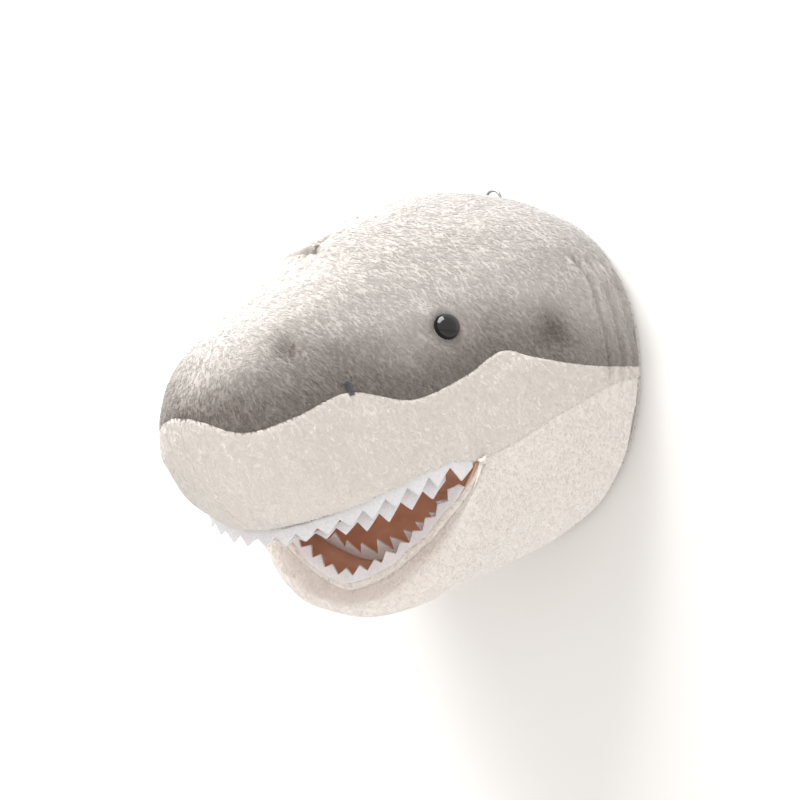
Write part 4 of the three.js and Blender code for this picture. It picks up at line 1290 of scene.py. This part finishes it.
def add_rod(name, radius, length, middle, turn, sides=40):
    """A round bar at its place."""
    bpy.ops.object.select_all(action="DESELECT")
    bpy.ops.mesh.primitive_cylinder_add(vertices=sides, radius=radius, depth=length, location=middle,
                                        rotation=turn)
    piece = bpy.context.object
    piece.name = name
    bpy.ops.object.transform_apply(location=True, rotation=True, scale=True)
    return piece


def combine(piece, other, operation):
    """Joins another piece to this one, or cuts it out of this one."""
    add_modifier(piece, "BOOLEAN", operation=operation, object=other, solver="EXACT")
    bpy.data.objects.remove(other)


sideways = (0, math.radians(90), 0)
into_board = (math.radians(90), 0, 0)
plate_length = plate_high.z - plate_low.z - 2 * barrel_radius
plate_y = -0.0015
strap = add_box("hanger_strap", (plate_high.x - plate_low.x, plate_thickness, plate_length),
                (0, plate_y, plate_low.z + plate_length / 2))
select_where(strap, lambda centre, normal: True)
bpy.ops.mesh.select_mode(type="EDGE")
bpy.ops.mesh.select_all(action="DESELECT")
bpy.ops.object.mode_set(mode="OBJECT")
for edge in strap.data.edges:
    ends = [strap.data.vertices[i].co for i in edge.vertices]
    edge.select = abs(ends[0].y - ends[1].y) > plate_thickness / 2
bpy.ops.object.mode_set(mode="EDIT")
bpy.ops.mesh.bevel(offset=0.0025, segments=6)
bpy.ops.object.mode_set(mode="OBJECT")
neck_length = pivot.z - plate_low.z - plate_length + 0.002
neck = add_box("neck", (barrel_width, plate_thickness, neck_length), (0, plate_y, pivot.z - neck_length / 2))
combine(strap, neck, "UNION")
combine(strap, add_rod("barrel", barrel_radius, barrel_width, pivot, sideways), "UNION")
combine(strap, add_rod("bore", ring_wire + 0.0005, 3 * barrel_width, pivot, sideways), "DIFFERENCE")
screw_heights = [(low.z + high.z) / 2 for low, high in (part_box("hanger_screw_1"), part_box("hanger_screw_2"))]
for height in screw_heights:
    combine(strap, add_rod("hole", 0.0018, 0.02, (0, 0, height), into_board), "DIFFERENCE")
add_modifier(strap, "BEVEL", width=0.0002, segments=3, limit_method="ANGLE", angle_limit=math.radians(45))
finish_piece(strap, (0, 0, 0), (0, 0, 1), nickel)
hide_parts("hanger_plate")
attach(strap, "head")

for number, height in enumerate(screw_heights, 1):
    screw = add_rod(f"hanger_screw_{number}_head", 0.0029, 0.0008, (0, -0.0005, height), into_board, 48)
    select_where(screw, lambda centre, normal: normal.y > 0.9)
    bpy.ops.mesh.inset(thickness=0.0007)
    bpy.ops.transform.translate(value=(0, 0.0003, 0))
    select_where(screw, lambda centre, normal: normal.y < -0.9)
    bpy.ops.mesh.inset(thickness=0.0016)
    bpy.ops.mesh.extrude_region_move(TRANSFORM_OT_translate={"value": (0, -0.0045, 0)})
    bpy.ops.mesh.extrude_region_move(TRANSFORM_OT_translate={"value": (0, -0.0012, 0)})
    bpy.ops.transform.resize(value=(0.15, 1, 0.15))
    bpy.ops.object.mode_set(mode="OBJECT")
    for size in ((0.0034, 0.0012, 0.0006), (0.0006, 0.0012, 0.0034)):
        combine(screw, add_box("recess", size, (0, 0.0002, height)), "DIFFERENCE")
    add_modifier(screw, "BEVEL", width=0.00008, segments=2, limit_method="ANGLE",
                 angle_limit=math.radians(45))
    finish_piece(screw, (0, 0, 0), (0, 0, 1), nickel)
    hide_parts(f"hanger_screw_{number}")
    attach(screw, "head")

half_bar = 0.65 * ring_radius
turns = np.radians(np.arange(-30, 211, 20))
arc = np.stack([np.cos(turns) * ring_radius, 0 * turns, (1 + np.sin(turns)) * ring_radius], 1)
bar = np.array([[-half_bar, 0, 0], [0, 0, 0], [half_bar, 0, 0]])
wire = bpy.data.curves.new("ring_wire", "CURVE")
wire.dimensions = "3D"
wire.bevel_depth = ring_wire
wire.bevel_resolution = 4
wire.resolution_u = 6
bend = wire.splines.new("BEZIER")
bend.use_cyclic_u = True
ring_points = np.concatenate([bar, arc]) + np.array(pivot)
bend.bezier_points.add(len(ring_points) - 1)
for corner, at in zip(bend.bezier_points, ring_points):
    corner.co = at
    corner.handle_left_type = "AUTO"
    corner.handle_right_type = "AUTO"
ring = bpy.data.objects.new("hanger_ring_wire", wire)
bpy.context.scene.collection.objects.link(ring)
select_only(ring)
bpy.ops.object.convert(target="MESH")
ring = bpy.context.object
ring.data.materials.clear()
ring.data.materials.append(nickel)
bpy.ops.object.shade_smooth()
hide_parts("hanger_ring")
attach(ring, "ring")
